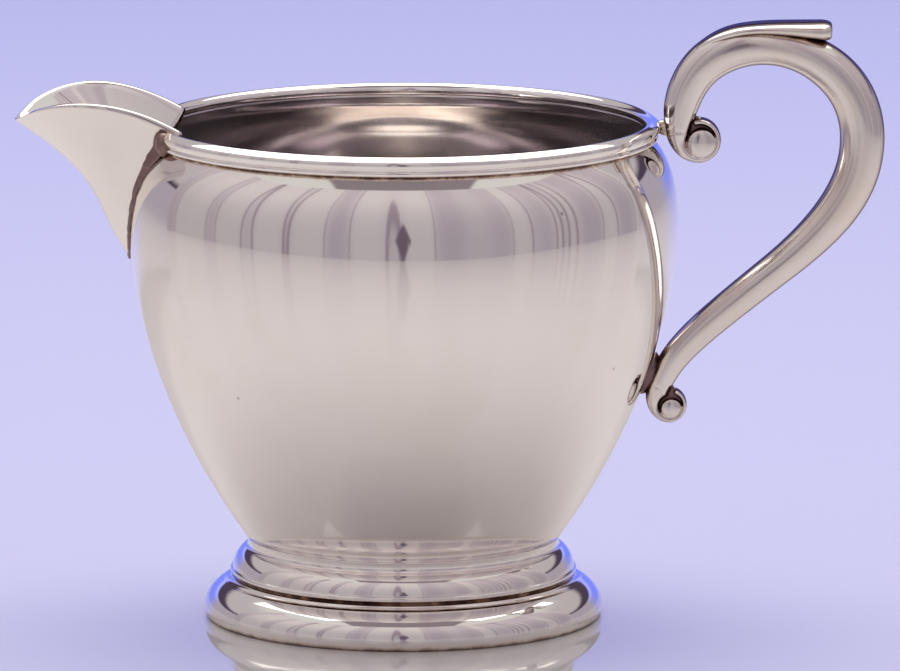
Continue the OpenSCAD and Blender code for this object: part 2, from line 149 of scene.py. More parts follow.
# %% [markdown]
# A list of rings becomes a mesh when each ring is joined to the next with four-sided faces.
# Blender's skin or screw modifiers could do some of this, but plain rings let every form here
# share one helper. Points that coincide are then welded, and bmesh turns the normals outwards.

# %% Skins
WELD = 0.002 * MM


def new_piece(name, points, faces):
    mesh = bpy.data.meshes.new(name)
    mesh.from_pydata([tuple(p) for p in points], [], faces)
    shape = bmesh.new()
    shape.from_mesh(mesh)
    bmesh.ops.remove_doubles(shape, verts=shape.verts, dist=WELD)
    bmesh.ops.recalc_face_normals(shape, faces=shape.faces)
    shape.to_mesh(mesh)
    shape.free()
    mesh.shade_smooth()
    piece = bpy.data.objects.new(name, mesh)
    bpy.context.scene.collection.objects.link(piece)
    print(f"{name}: {len(mesh.polygons)} faces")
    return piece


def skin_faces(rings, count, closed_ring=True, closed_run=False):
    faces = []
    for i in range(rings if closed_run else rings - 1):
        for j in range(count if closed_ring else count - 1):
            a, b = i * count, ((i + 1) % rings) * count
            k = (j + 1) % count
            faces.append((a + j, a + k, b + k, b + j))
    return faces


def capped_faces(rings, count):
    last = (rings - 1) * count
    return skin_faces(rings, count) + [tuple(range(count))[::-1], tuple(range(last, last + count))]


def swept_skin(name, rings):
    rings = np.asarray(rings)
    return new_piece(name, rings.reshape(-1, 3), capped_faces(*rings.shape[:2]))


print("faces of a capped tube, 3 rings of 8:", len(capped_faces(3, 8)))

# %% [markdown]
# The main sizes are read off the frame's own boxes, so that the dressed pieces follow the CAD
# model when it is built anew. Walls and small rounds that no box shows are written out here,
# with the values that the CAD source has.

# %% Main sizes
BOWL_LOW, BOWL_HIGH = (np.array(corner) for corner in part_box("bowl"))
RIM_LOW, RIM_HIGH = (np.array(corner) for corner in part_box("rim_wire"))
FOOT_HIGH = np.array(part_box("foot_base")[1])
belly_r, rim_out_r, base_r = BOWL_HIGH[1], RIM_HIGH[1], FOOT_HIGH[1]
floor_z, lip_z, base_h = BOWL_LOW[2], BOWL_HIGH[2], FOOT_HIGH[2]
shoulder_z, rim_z = RIM_LOW[2], RIM_HIGH[2]
rim_h = rim_z - shoulder_z

bowl_wall, neck_r, neck_lean = 0.9 * MM, 22.8 * MM, 36
rim_round_r, reed_r = 1.12 * MM, 0.48 * MM
collar_h, shoulder_rise = 4.8 * MM, 12.3 * MM
RIM_SEAT_SHARE = 0.955
mouth_r = rim_out_r - RIM_SEAT_SHARE * rim_round_r
neck_z = base_h + collar_h
belly_z = shoulder_z - shoulder_rise
belly_rise = belly_z - neck_z
print("belly radius and height, mm:", round(belly_r / MM, 2), round(belly_z / MM, 2))

# %% [markdown]
# The bowl was raised from sheet. Its half outline has three stretches: a flat floor that
# rounds up to the neck, a wall that leans outwards to the belly, and a short shoulder that
# draws in under the rim. The shares that place the control points are the CAD source's own,
# and a finer copy of the side tells other pieces where the bowl's wall is.

# %% The bowl's outline
FLOOR_BEND, WALL_LEAD, BELLY_LEAD = 0.22, 0.37, 0.32
SHOULDER_LEAD, SHOULDER_IN, SHOULDER_UP = 0.53, 0.38, 0.78

neck_at = np.array([neck_r, neck_z])
belly_at = np.array([belly_r, belly_z])
neck_slope = heading(90 - neck_lean)
floor_curve = [(0, floor_z), (neck_r / 2, floor_z), neck_at - neck_r * FLOOR_BEND * neck_slope, neck_at]
wall_curve = [neck_at, neck_at + belly_rise * WALL_LEAD * neck_slope,
              belly_at - (0, belly_rise * BELLY_LEAD), belly_at]
shoulder_curve = [belly_at, belly_at + (0, shoulder_rise * SHOULDER_LEAD),
                  (mix(belly_r, mouth_r, SHOULDER_IN), belly_z + shoulder_rise * SHOULDER_UP),
                  (mouth_r, shoulder_z)]
bowl_line = np.concatenate([trail(floor_curve, 14), trail(wall_curve, 70),
                            trail(shoulder_curve, 34),
                            [(mouth_r, mix(shoulder_z, lip_z, s)) for s in (0.5, 1)]])
side_line = np.concatenate([trail(wall_curve, 400), trail(shoulder_curve, 200), [(mouth_r, lip_z)]])


def bowl_radius(z):
    return np.interp(z, side_line[:, 1], side_line[:, 0])


def bowl_inside_radius(z):
    return bowl_radius(np.minimum(z, lip_z)) - bowl_wall


print("outline points:", len(bowl_line), "radius at half height, mm:",
      round(float(bowl_radius((neck_z + belly_z) / 2)) / MM, 2))

# %% [markdown]
# The spout is one folded sheet. A keel curve and an edge curve run from the tip back into the
# bowl. Both follow from a few lengths, and the keel is led past the bowl's wall by a few
# thicknesses of the sheet, so that it surely meets it.

# %% The spout's keel and edge
tip_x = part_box("spout")[0][0]
spout_w, nose_len, arch_rise = 24 * MM, 14 * MM, 4 * MM
keel_drop, spout_wall = 19.8 * MM, 0.8 * MM
SPOUT_ROOT_SHARE, EDGE_SINK_SHARE = 0.89, 0.4
EDGE_SHARES = np.array([(0.19, 1.15), (0.57, 1.45)])
KEEL_SHARES = np.array([(0.84, 0.445), (0.5, 0.575)])
KEEL_LEAD_WALLS, KEEL_IN_SHARE = 4, 0.8

root_x = -(mouth_r - 2 * bowl_wall) * SPOUT_ROOT_SHARE
edge_tip = np.array([tip_x, rim_z])
spout_run = root_x - tip_x
edge_curve = [edge_tip, *(edge_tip + EDGE_SHARES * (spout_run, arch_rise)),
              (root_x, rim_z - rim_h * EDGE_SINK_SHARE)]
keel_foot_z = rim_z - keel_drop
keel_lead = spout_wall * KEEL_LEAD_WALLS
keel_end = np.array([-(bowl_radius(keel_foot_z) - keel_lead * KEEL_IN_SHARE), keel_foot_z - keel_lead])
keel_curve = [edge_tip, *(edge_tip + KEEL_SHARES * (keel_end - edge_tip)), keel_end]
print("spout tip and root, mm:", round(tip_x / MM, 2), round(root_x / MM, 2))

# %% [markdown]
# The sheet's side is drawn between keel and edge at every station. It swells out quickly from
# the keel and rounds off towards the nose, which two powers do. The inside is the same surface
# with its keel lifted and its sides drawn in by about the sheet's thickness.

# %% A point of the spout's sheet
side_swell, nose_swell = 0.45, 0.62
tip_back, keel_up, side_in = spout_wall * 0.8, spout_wall * 1.5, spout_wall * 1.12
LIFT_HASTE = 4


def nose(run, length):
    share = np.clip(run / length, 0, 1)
    return (1 - (1 - share) ** 2) ** nose_swell


def spout_point(t, v, inside=False):
    """A point of the sheet's near side, from the keel at v = 0 to the edge at v = 1."""
    t, v = np.broadcast_arrays(np.asarray(t, float), np.asarray(v, float))
    edge, keel = cubic(edge_curve, t), cubic(keel_curve, t)
    back, half = 0, spout_w / 2
    if inside:
        back, half = tip_back, half - side_in
        lift = np.minimum(t * LIFT_HASTE, 1)[..., None]
        up = -unit(left_of(-cubic_slope(keel_curve, t)))
        keel = keel + mix(np.array([tip_back, 0]), keel_up * up, lift)
        edge = edge + np.stack([tip_back * (1 - t), 0 * t], -1)
    wide = half * nose(edge[..., 0] - tip_x - back, nose_len - back)
    place = mix(keel, edge, v[..., None])
    return np.stack([place[..., 0], -wide * v ** side_swell, place[..., 1]], -1)


print("widest half of the sheet, mm:", round(float(-spout_point(1, 1)[1]) / MM, 2))

# %% [markdown]
# Where each line of the sheet meets the bowl has no formula, so it is found by halving an
# interval again and again. The same answer tells the bowl and the rim how wide a notch they
# must leave at each height.

# %% Where the spout meets the bowl
HALVINGS = 24
NOTCH_TOP, NOTCH_LINES, NOTCH_CROWD = 1.2, 121, 1.6


def meeting(v, radius_at, inside=False):
    """How far along the sheet each line v goes before it meets a turned surface."""
    low, high = np.zeros_like(v, float), np.ones_like(v, float)
    for _ in range(HALVINGS):
        t = (low + high) / 2
        point = spout_point(t, v, inside)
        outside = np.hypot(point[..., 0], point[..., 1]) > radius_at(point[..., 2])
        low, high = np.where(outside, t, low), np.where(outside, high, t)
    return t


def notch(radius_at):
    """Half of the notch's angle about the axis, against height."""
    v = np.linspace(0, NOTCH_TOP, NOTCH_LINES) ** NOTCH_CROWD
    point = spout_point(meeting(v, radius_at), v)
    return point[:, 2], np.arctan2(-point[:, 1], -point[:, 0])


print("half the notch at the mouth, degrees:", round(math.degrees(notch(bowl_radius)[1].max()), 1))

# %% [markdown]
# The spout's skin is a closed band: up the outside of one side, over the cut edge, down the
# inside and back. The cut edge of a hand-made spout is dressed with a file and never quite
# square, so it gets a low rounded crown that catches a thin line of light.

# %% Fold the spout
EDGE_ROUND = np.array([0.15, 0.5, 0.85])
EDGE_CROWN, CROWN_HASTE = 0.28 * MM, 6
RUN_IN, RUN_IN_FROM, TIP_START = 0.045, 0.8, 0.003
SHEET_LINES, SHEET_STATIONS = 34, 90
sides = np.linspace(0, 1, SHEET_LINES) ** 1.5
stations = np.linspace(0, 1, SHEET_STATIONS) ** 1.4


def spout_ring(share):
    halves = []
    for inside in (False, True):
        run_in = RUN_IN * smoothstep(RUN_IN_FROM, 1, sides)
        end = meeting(sides, bowl_inside_radius, inside) + run_in
        halves.append(spout_point(mix(TIP_START, end, share), sides, inside))
    outer, inner = halves
    rise = EDGE_CROWN * min(share * CROWN_HASTE, 1)
    crown = [mix(outer[-1], inner[-1], s) + (0, 0, rise * math.sin(math.pi * s)) for s in EDGE_ROUND]
    near = np.concatenate([outer, crown, inner[::-1]])
    far = near * (1, -1, 1)
    return np.concatenate([near, far[::-1][1:-1]])


spout = swept_skin("folded_spout", [spout_ring(share) for share in stations])

# %% [markdown]
# A bowl with a notch could be cut with a boolean, but that leaves long thin triangles, and
# polished silver shows every one. So the turned grid is bent instead: at each height its
# columns start at one side of the notch and end at the other. Below the notch both sides meet
# and are welded.

# %% A turned band with a notch
COLUMNS = 360
NOTCH_BITE = 0.35 * MM


def notch_angle(z, table, radius):
    angle = np.interp(z, table[0], table[1], left=0)
    return np.maximum(angle - NOTCH_BITE / radius, 0)


def turned_band(line, starts):
    share = np.linspace(0, 1, COLUMNS + 1)
    angle = starts[:, None] + share[None, :] * (2 * math.pi - 2 * starts[:, None])
    radius, z = line[:, :1], np.broadcast_to(line[:, 1:], angle.shape)
    return np.stack([-radius * np.cos(angle), -radius * np.sin(angle), z], -1)


inner_line = inset(bowl_line, bowl_wall)
inner_line[:, 1] = np.minimum(inner_line[:, 1], lip_z)
bowl_starts = notch_angle(bowl_line[:, 1], notch(bowl_radius), bowl_line[:, 0])
inner_starts = notch_angle(inner_line[:, 1], notch(bowl_inside_radius), inner_line[:, 0])
print("rows of the bowl with a notch:", int((bowl_starts > 0).sum()))

# %% [markdown]
# The outside and the inside are two such bands, joined over the lip. Where the notch is open,
# its two cut sides are closed with faces between them, and the floor's two ends with one face
# each.

# %% Raise the bowl
rows = len(bowl_line)
outer_band, inner_band = turned_band(bowl_line, bowl_starts), turned_band(inner_line, inner_starts)
band = np.concatenate([outer_band, inner_band[::-1]])
bowl_faces = skin_faces(2 * rows, COLUMNS + 1, closed_ring=False)
for column in (0, COLUMNS):
    for i in range(rows - 1):
        if max(bowl_starts[i], inner_starts[i]) > 0:
            a, b = i * (COLUMNS + 1) + column, (i + 1) * (COLUMNS + 1) + column
            c, d = ((2 * rows - 1 - k) * (COLUMNS + 1) + column for k in (i + 1, i))
            bowl_faces.append((a, b, c, d))
top_first = (2 * rows - 1) * (COLUMNS + 1)
bowl_faces += [tuple(range(COLUMNS)), tuple(range(top_first, top_first + COLUMNS))[::-1]]
bowl = new_piece("raised_bowl", band.reshape(-1, 3), bowl_faces)

# %% [markdown]
# The rim wire is drawn, not turned: a large round with a fine reed under it. Years of polishing
# have worn a flat on the round's upper outside, where the lamp then draws one straight line.
# The flat is a chord of the round, mixed in by a share.

# %% The rim wire's section
FLAT_AT, FLAT_HALF, FLAT_SHARE = 58, 33, 0.8
ROUND_OUT_SHARE = 0.73
round_at = np.array([rim_out_r - rim_round_r, rim_z - rim_round_r])
reed_at = np.array([mouth_r + rim_round_r * ROUND_OUT_SHARE - reed_r, shoulder_z + reed_r])


def worn_round(start, end, steps):
    angles = np.linspace(start, end, steps + 1)
    off = np.minimum(np.abs(angles - FLAT_AT), FLAT_HALF)
    chord = math.cos(math.radians(FLAT_HALF)) / np.cos(np.radians(off))
    radius = rim_round_r * mix(1, chord, FLAT_SHARE)
    return round_at + radius[:, None] * spokes(angles)


rim_line = np.concatenate([[(mouth_r - bowl_wall / 2, lip_z - bowl_wall / 2), (mouth_r, shoulder_z)],
                           arc(reed_at, reed_r, -90, 50, 14), worn_round(-28, 205, 56),
                           [(mouth_r - bowl_wall, lip_z)]])
print("points in the rim's section:", len(rim_line))

# %% [markdown]
# The wire is bent to a ring and soldered on, and its ends stop at the spout's sides. So each
# point of the section is swept round from the angle where its own radius meets the spout.

# %% Bend the rim wire
RIM_GAP = 0.5 * MM


def rim_start(point):
    heights, angles = notch(lambda z: np.full_like(z, point[0]))
    return np.interp(point[1], heights, angles) + RIM_GAP / rim_out_r


rim_starts = np.array([rim_start(point) for point in rim_line])
rim_wire = swept_skin("moulded_rim", turned_band(rim_line, rim_starts).transpose(1, 0, 2))

# %% [markdown]
# The foot has two tiers, spun from sheet and open underneath. A dark groove runs between them,
# a little below the joint. The upper tier is a round collar: a small cove under the neck, a
# full round, and a fine bead at its edge. The outline is turned about the axis.

# %% Spin the collar
step_r, bead_r, foot_wall, rest_w = 24.7 * MM, 0.42 * MM, 1.1 * MM, 1.7 * MM
GROOVE_LOW, GROOVE_HIGH, GROOVE_DEEP = -1.0 * MM, -0.5 * MM, 0.1 * MM
COVE_SHARE = 0.16
NECK_COVE_SHARES = np.array([(0.13, 0.13), (-0.3, -1), (-0.2, -1.7), (0.3, -2)])
COLLAR_OUT, COLLAR_COVES, COLLAR_BEADS, COLLAR_DOWN = 0.6, 2.5, 0.6, 0.65

groove_low_z, groove_high_z = base_h + GROOVE_LOW, base_h + GROOVE_HIGH
groove_r = step_r - GROOVE_DEEP
cove_r = collar_h * COVE_SHARE
bead_at = np.array([step_r + bead_r * 0.4, groove_high_z + bead_r])
collar_foot = np.array([step_r + bead_r * 0.7, groove_high_z + 2 * bead_r])
collar_cove = neck_at + cove_r * NECK_COVE_SHARES
collar_round = [collar_cove[-1], (mix(neck_r, step_r, COLLAR_OUT), neck_z - cove_r * COLLAR_COVES),
                (collar_foot[0] - bead_r * COLLAR_BEADS, mix(neck_z, collar_foot[1], COLLAR_DOWN)),
                collar_foot]
collar_line = np.concatenate([collar_cove[:1], trail(collar_cove, 16), trail(collar_round, 34),
                              arc(bead_at, bead_r, 70, -80, 16), [(groove_r, groove_high_z)]])


def spun_skin(name, line):
    angle = np.linspace(0, 2 * math.pi, COLUMNS, endpoint=False)[:, None]
    radius, z = line[None, :, 0], np.broadcast_to(line[None, :, 1], (COLUMNS, len(line)))
    rings = np.stack([-radius * np.cos(angle), -radius * np.sin(angle), z], -1)
    return new_piece(name, rings.reshape(-1, 3), skin_faces(COLUMNS, len(line), closed_run=True))


collar_in = inset(collar_line, -foot_wall)
collar_in = collar_in[(collar_in[:, 1] > groove_high_z) & (collar_in[:, 1] < collar_line[0][1])]
collar_floor = [(groove_r - foot_wall, groove_high_z)]
collar = spun_skin("spun_collar", np.concatenate([collar_line, collar_floor, collar_in[::-1]]))

# %% [markdown]
# The lower tier is a wide ring with a small cove, a full round and a narrow face to stand on.
# Its points are placed as shares of the ring's width and height. The inner face follows the
# outer one at a sheet's thickness, and stops short of the groove and the resting edge.

# %% Spin the base
REST_OUT, REST_CLEAR = 0.9, 0.12
LIP_COVE_SHARES = ((0, 0), (0.03, 0.5), (0.08, 0.85))
ring_w = base_r - step_r
lip_r = step_r + bead_r * 0.9


def on_ring(out, up):
    return np.array([step_r + ring_w * out, base_h * up])


cove_foot, base_widest, rest_out = on_ring(0.33, 0.76), on_ring(1, 0.18), on_ring(REST_OUT, 0)
base_cove = [(lip_r + ring_w * out, mix(groove_low_z, cove_foot[1], down)) for out, down in LIP_COVE_SHARES]
base_round = [cove_foot, on_ring(0.7, 0.66), on_ring(1.02, 0.46), base_widest]
base_under = [base_widest, on_ring(0.99, 0.08), on_ring(0.95, 0.03), rest_out]
groove_line = [(groove_r, groove_high_z), (groove_r, groove_low_z), (lip_r - bead_r * 0.4, groove_low_z),
               (lip_r - bead_r * 0.1, groove_low_z - bead_r * 0.1)]
base_line = np.concatenate([groove_line, trail([*base_cove, cove_foot], 18)[1:], trail(base_round, 40),
                            trail(base_under, 14)])

base_in = inset(base_line, -foot_wall)
base_in = base_in[(base_in[:, 1] > base_h * REST_CLEAR) & (base_in[:, 1] < groove_low_z - foot_wall / 2)
                  & (base_in[:, 0] > step_r - foot_wall)]
base_top = [(groove_r - foot_wall, base_in[0][1]), (groove_r - foot_wall, groove_high_z)]
base_rest = [(rest_out[0] - rest_w, 0)]
base = spun_skin("spun_base", np.concatenate([base_line, base_rest, base_in[::-1], base_top]))

# %% [markdown]
# The handle is a cast S-scroll. Its centre line runs through five knots, each with its own
# heading, and a cubic curve joins each pair. A knot's place is a share of the handle's reach
# and of the height from the lower seat to the rim.

# %% The handle's line
handle_t, handle_w = 6.7 * MM, 7.4 * MM
handle_reach = 33.2 * MM
seat_z = rim_z - 37.8 * MM
seat_r = bowl_radius(seat_z)
# Place out, place up, heading, and the handles before and after each knot
BAR_KNOTS = [(0.075, 0.944, 88, 0, 0.25), (0.431, 1.287, 0, 0.215, 0.24),
             (0.885, 0.926, -90, 0.255, 0.216), (0.538, 0.413, -141.3, 0.32, 0.465),
             (0.053, -0.05, -112, 0.18, 0)]


def knot_place(knot):
    out = mix(seat_r, rim_out_r, min(knot[1] / BAR_KNOTS[0][1], 1))
    return np.array([out + handle_reach * knot[0], seat_z + (rim_z - seat_z) * knot[1]])


bar_curves = [[knot_place(a), knot_place(a) + handle_reach * a[4] * heading(a[2]),
               knot_place(b) - handle_reach * b[3] * heading(b[2]), knot_place(b)]
              for a, b in zip(BAR_KNOTS, BAR_KNOTS[1:])]
BAR_END = len(bar_curves)


def bar_at(u):
    i = min(int(u), BAR_END - 1)
    return cubic(bar_curves[i], u - i)


def bar_heading(u):
    i = min(int(u), BAR_END - 1)
    return unit(cubic_slope(bar_curves[i], u - i))


print("the bar's two ends, mm:", (bar_at(0) / MM).round(1), (bar_at(BAR_END) / MM).round(1))

# %% [markdown]
# The bar swells and thins along the way. Its thickness and width come from short tables, each
# row a place along the line and a share of the full size, read with a smooth curve. It is made
# a hair thinner than the CAD bar, so that no rounding can carry it past the CAD model's box.

# %% How thick the bar is
BAR_THICK = [(0, 0.51), (0.15, 0.74), (0.4, 0.86), (0.75, 0.93), (1.12, 0.84), (1.55, 0.96),
             (2.1, 0.98), (2.5, 0.92), (3, 0.75), (3.5, 0.66), (4, 0.53)]
BAR_WIDE = [(0, 0.68), (0.5, 0.8), (1.3, 1), (2.2, 0.98), (3, 0.8), (3.5, 0.68), (4, 0.6)]
HAIR_SHARE = 0.985


def from_table(table, place):
    """A smooth value that leaves each row at the slope of its two neighbours."""
    places, values = (np.array(column, float) for column in zip(*table))
    i = int(np.clip(np.searchsorted(places, place, side="right") - 1, 0, len(places) - 2))
    low, high = max(i - 1, 0), min(i + 2, len(places) - 1)
    slopes = ((values[i + 1] - values[low]) / (places[i + 1] - places[low]),
              (values[high] - values[i]) / (places[high] - places[i]))
    gap = places[i + 1] - places[i]
    lead = [[values[i]], [values[i] + gap * slopes[0] / 3], [values[i + 1] - gap * slopes[1] / 3],
            [values[i + 1]]]
    return float(cubic(lead, np.clip((place - places[i]) / gap, 0, 1))[0])


def bar_half_t(u):
    return HAIR_SHARE * handle_t / 2 * from_table(BAR_THICK, u)


def bar_half_w(u):
    return handle_w / 2 * from_table(BAR_WIDE, u)


# %% [markdown]
# One helper sweeps a section along stations in the handle's plane, each with a place, a
# heading and two half sizes. A power of the sine and cosine squares the oval up. What lies
# inside the bowl is pushed out to its wall, so that nothing shows inside. Where a curl begins,
# the bar dips by a hair, as a filed joint does.

# %% Cast the bar
BOWL_SINK = 0.3 * MM
BAR_SQUARE, BAR_SIDES, BAR_STATIONS = 2.5, 56, 60
END_DIP, END_RUN = 0.02, 0.05


def section(at, direction, half_t, half_w, square, count):
    angle = 2 * math.pi * (np.arange(count) + 0.5) / count
    across = half_t * np.sign(np.cos(angle)) * np.abs(np.cos(angle)) ** (2 / square)
    wide = half_w * np.sign(np.sin(angle)) * np.abs(np.sin(angle)) ** (2 / square)
    side = left_of(direction)
    return np.stack([at[0] + side[0] * across, wide, at[1] + side[1] * across], -1)


def off_the_bowl(points):
    points = np.array(points)
    flat = np.hypot(points[..., 0], points[..., 1])
    least = bowl_radius(points[..., 2]) - BOWL_SINK
    push = np.where(flat < least, least / np.maximum(flat, MM), 1)
    points[..., 0] *= push
    points[..., 1] *= push
    return points


def bar_section(u, way=1, share=1):
    return section(bar_at(u), way * bar_heading(u), share * bar_half_t(u), share * bar_half_w(u),
                   BAR_SQUARE, BAR_SIDES)


def bar_ring(u):
    return bar_section(u, share=1 - END_DIP * float(smoothstep(END_RUN, 0, min(u, BAR_END - u))))


bar_rings = [bar_ring(u) for u in np.linspace(0, BAR_END, BAR_STATIONS * BAR_END + 1)]
bar = swept_skin("cast_bar", off_the_bowl(bar_rings))

# %% [markdown]
# The thumb leaf lies on the top of the bar. It rises out of the bar's back, widens, and ends
# in a rounded nub that stands clear of it. Its section is nearly square, so that its flat top
# shows as one pale band.

# %% Cast the thumb leaf
leaf_run, leaf_rise, leaf_t, leaf_w = 10.5 * MM, 0.8 * MM, 3 * MM, 7.6 * MM
LEAF_FROM, LEAF_SUNK = 0.58, 0.8
LEAF_LEAD, TIP_LEAD, TIP_DROP = 0.64, 0.76, 0.45
LEAF_THICK = [(0, 0.35), (0.25, 0.52), (0.5, 0.56), (0.72, 0.7), (1, 1)]
LEAF_WIDE = [(0, 0.5), (0.25, 0.8), (0.5, 0.93), (0.85, 1), (1, 0.96)]
NUB_RUN, NUB_END = 0.07, 0.6
LEAF_SQUARE, LEAF_SIDES, LEAF_STATIONS = 2.7, 48, 90

leaf_root = bar_at(LEAF_FROM) + bar_half_t(LEAF_FROM) * LEAF_SUNK * left_of(bar_heading(LEAF_FROM))
leaf_tip = bar_at(1) + (0, bar_half_t(1)) + (leaf_run, leaf_rise - leaf_t / 2)
leaf_curve = [leaf_root, leaf_root + leaf_run * LEAF_LEAD * bar_heading(LEAF_FROM),
              leaf_tip - (leaf_run * TIP_LEAD, -leaf_rise * TIP_DROP), leaf_tip]


def nub(share):
    left = max(1 - share, 0) / NUB_RUN
    return 1 if left >= 1 else mix(NUB_END, 1, math.sqrt(1 - (1 - left) ** 2))


def leaf_ring(share):
    return section(cubic(leaf_curve, share), unit(cubic_slope(leaf_curve, share)),
                   HAIR_SHARE * leaf_t / 2 * from_table(LEAF_THICK, share) * nub(share),
                   leaf_w / 2 * from_table(LEAF_WIDE, share) * nub(share), LEAF_SQUARE, LEAF_SIDES)


leaf = swept_skin("cast_leaf", [leaf_ring(s) for s in 1 - (1 - np.linspace(0, 1, LEAF_STATIONS)) ** 1.5])

# %% [markdown]
# Each end of the bar winds into a curl round a domed boss, with a recessed web between them.
# The curl is the bar's section swept along a spiral: its radius and thickness fall fast at
# first and then hardly at all. The boss and the web are turned about an axis from front to back.

# %% Forms of a curl
boss_r, boss_w = 2.15 * MM, 4.5 * MM
CURL_END, CURL_THIN, CURL_NARROW, CURL_RISE = 1.15, 0.2, 0.8, 0.4 * MM
RADIUS_HASTE, THIN_HASTE, CURL_STATIONS = 4.5, 5.5, 120
BOSS_EDGE, BOSS_SHOULDER, BOSS_DOME, BOSS_SIDES = 0.8, 0.92, 0.6, 64
WEB_HALF, WEB_SHARE, WEB_SIDES = 0.4 * MM, 1.2, 48


def curl_rings(centre, start, turn, radius, boss, half_t, half_w):
    rings = []
    last = boss * CURL_END
    for s in np.linspace(0, 1, CURL_STATIONS + 1):
        fade, thin = (1 - s) ** RADIUS_HASTE, (1 - s) ** THIN_HASTE
        r = mix(last, radius, fade) + CURL_RISE * smoothstep(0.6, 1, s)
        drift = -RADIUS_HASTE * (1 - s) ** (RADIUS_HASTE - 1) * (radius - last) / math.radians(turn)
        away = heading(start + turn * s)
        rings.append(section(centre + r * away, unit(r * left_of(away) + drift * away),
                             mix(boss * CURL_THIN, half_t, thin), mix(half_w * CURL_NARROW, half_w, thin),
                             BAR_SQUARE, BAR_SIDES))
    return rings


def level_ring(centre, r, y, count):
    angle = np.linspace(0, 2 * math.pi, count, endpoint=False)
    return np.stack([centre[0] + r * np.cos(angle), np.full(count, y), centre[1] + r * np.sin(angle)], -1)


def boss_rings(centre, r):
    half = boss_w / 2 * r / boss_r
    side = half * BOSS_EDGE
    dome = [(r, side), (r, half * BOSS_SHOULDER), (r * BOSS_DOME, half), (0.02 * r, half)]
    top = np.concatenate([[(r, side)], trail(dome, 16)])
    return [level_ring(centre, *p, BOSS_SIDES) for p in np.concatenate([top[::-1], top * (1, -1)])]


def web_rings(centre, r):
    return [level_ring(centre, r, y, WEB_SIDES) for y in (-WEB_HALF, WEB_HALF)]


print("upper boss radius, mm:", round(boss_r / MM, 2))

# %% [markdown]
# A casting has no seams, so the forms of one piece are fused: a voxel remesh joins them into
# one skin, and a little smoothing rounds the corners as on a worn casting. A boolean union
# would keep every edge sharp. The modifiers are applied at once, so that later cells see the
# final faces.

# %% Fuse forms into one casting
VOXEL, SOLDER_VOXEL = 0.11 * MM, 0.14 * MM
SOFTEN_BY, SOFTEN_ROUNDS = 0.5, 3


def fused(name, parts, voxel=VOXEL):
    points, faces, first = [], [], 0
    for rings in parts:
        rings = np.asarray(rings)
        faces += [tuple(first + k for k in face) for face in capped_faces(*rings.shape[:2])]
        points.append(rings.reshape(-1, 3))
        first += len(points[-1])
    piece = new_piece(name, np.concatenate(points), faces)
    remesh = piece.modifiers.new("fuse", "REMESH")
    remesh.mode, remesh.voxel_size, remesh.use_smooth_shade = "VOXEL", voxel, True
    soften = piece.modifiers.new("soften", "SMOOTH")
    soften.factor, soften.iterations = SOFTEN_BY, SOFTEN_ROUNDS
    applied = bpy.data.meshes.new_from_object(piece.evaluated_get(bpy.context.evaluated_depsgraph_get()))
    piece.modifiers.clear()
    piece.data = applied
    print(f"{name}, fused: {len(applied.polygons)} faces")
    return piece


print("voxels, mm: casting", round(VOXEL / MM, 2), "solder", round(SOLDER_VOXEL / MM, 2))

# %% [markdown]
# A curl grows from two rings inside the bar's end, a hair thinner than it. One web is a disc
# about the spiral's centre, and a second, smaller one fills the gap above the boss. The boss
# sits a little below the centre, as it does in the photograph. The lower curl is the same form
# with a smaller boss.

# %% Cast the curls
ROOT_SHARE, ROOT_STEPS = 0.985, (-0.05, -0.025)
BOSS_DROP = np.array([0.12, -0.3]) * MM
LOWER_BOSS_SHARE, LOWER_DROP_SHARE = 0.77, 1.3
lower_boss_r = boss_r * LOWER_BOSS_SHARE


def curl_root(u, way):
    return [bar_section(u + way * step, way, ROOT_SHARE) for step in ROOT_STEPS]


def curl_parts(u, way, start, turn, radius, boss, web, drop, small):
    """The forms of one curl. The web has a heading, a distance and a radius in bosses."""
    centre = bar_at(u) - radius * heading(start)
    web_at = centre + boss * web[1] * heading(web[0])
    sweep = curl_rings(centre, start, turn, radius, boss, bar_half_t(u), bar_half_w(u))
    return [curl_root(u, way) + sweep, boss_rings(centre + drop, boss * small),
            web_rings(centre, boss * WEB_SHARE), web_rings(web_at, boss * web[2])]


upper_forms = curl_parts(0, -1, start=164, turn=306, radius=boss_r * 1.64, boss=boss_r,
                         web=(105, 1.1, 0.56), drop=BOSS_DROP, small=0.96)
lower_forms = curl_parts(BAR_END, 1, start=125.5, turn=309, radius=lower_boss_r * 1.92, boss=lower_boss_r,
                         web=(104, 1.35, 0.75), drop=LOWER_DROP_SHARE * BOSS_DROP, small=0.92)
upper_curl = fused("cast_upper_curl", upper_forms)
lower_curl = fused("cast_lower_curl", [off_the_bowl(rings) for rings in lower_forms])

# %% [markdown]
# Solder is what joins the pieces, and it never lies evenly: it runs and pulls while it is hot.
# So every bead is built from plain forms, an oval ball among them, and stirred with smooth
# noise before it is fused. Blender draws this noise's offsets from the clock unless it is
# seeded, so it gets a seed, and every run stirs the solder alike.

# %% Stirred forms
STIR, STIR_SIZE = 0.16 * MM, 1.3 * MM
STIR_SEED = 7
POLE_GAP = 0.1

noise.seed_set(STIR_SEED)


def stirred(rings):
    rings = np.array(rings)
    for point in rings.reshape(-1, 3):
        point += STIR * np.array(noise.noise_vector(Vector(point) / STIR_SIZE))
    return rings


def ball_rings(middle, half, rows, count):
    tall = np.linspace(-math.pi / 2 + POLE_GAP, math.pi / 2 - POLE_GAP, rows)
    angle = np.linspace(0, 2 * math.pi, count, endpoint=False)
    return [middle + half * np.stack([math.cos(a) * np.cos(angle), math.cos(a) * np.sin(angle),
                                      np.full(count, math.sin(a))], -1) for a in tall]


print("stir of one point, mm:", round(STIR / MM * noise.noise_vector(Vector((1.3, 0.4, 2.2))).length, 3))

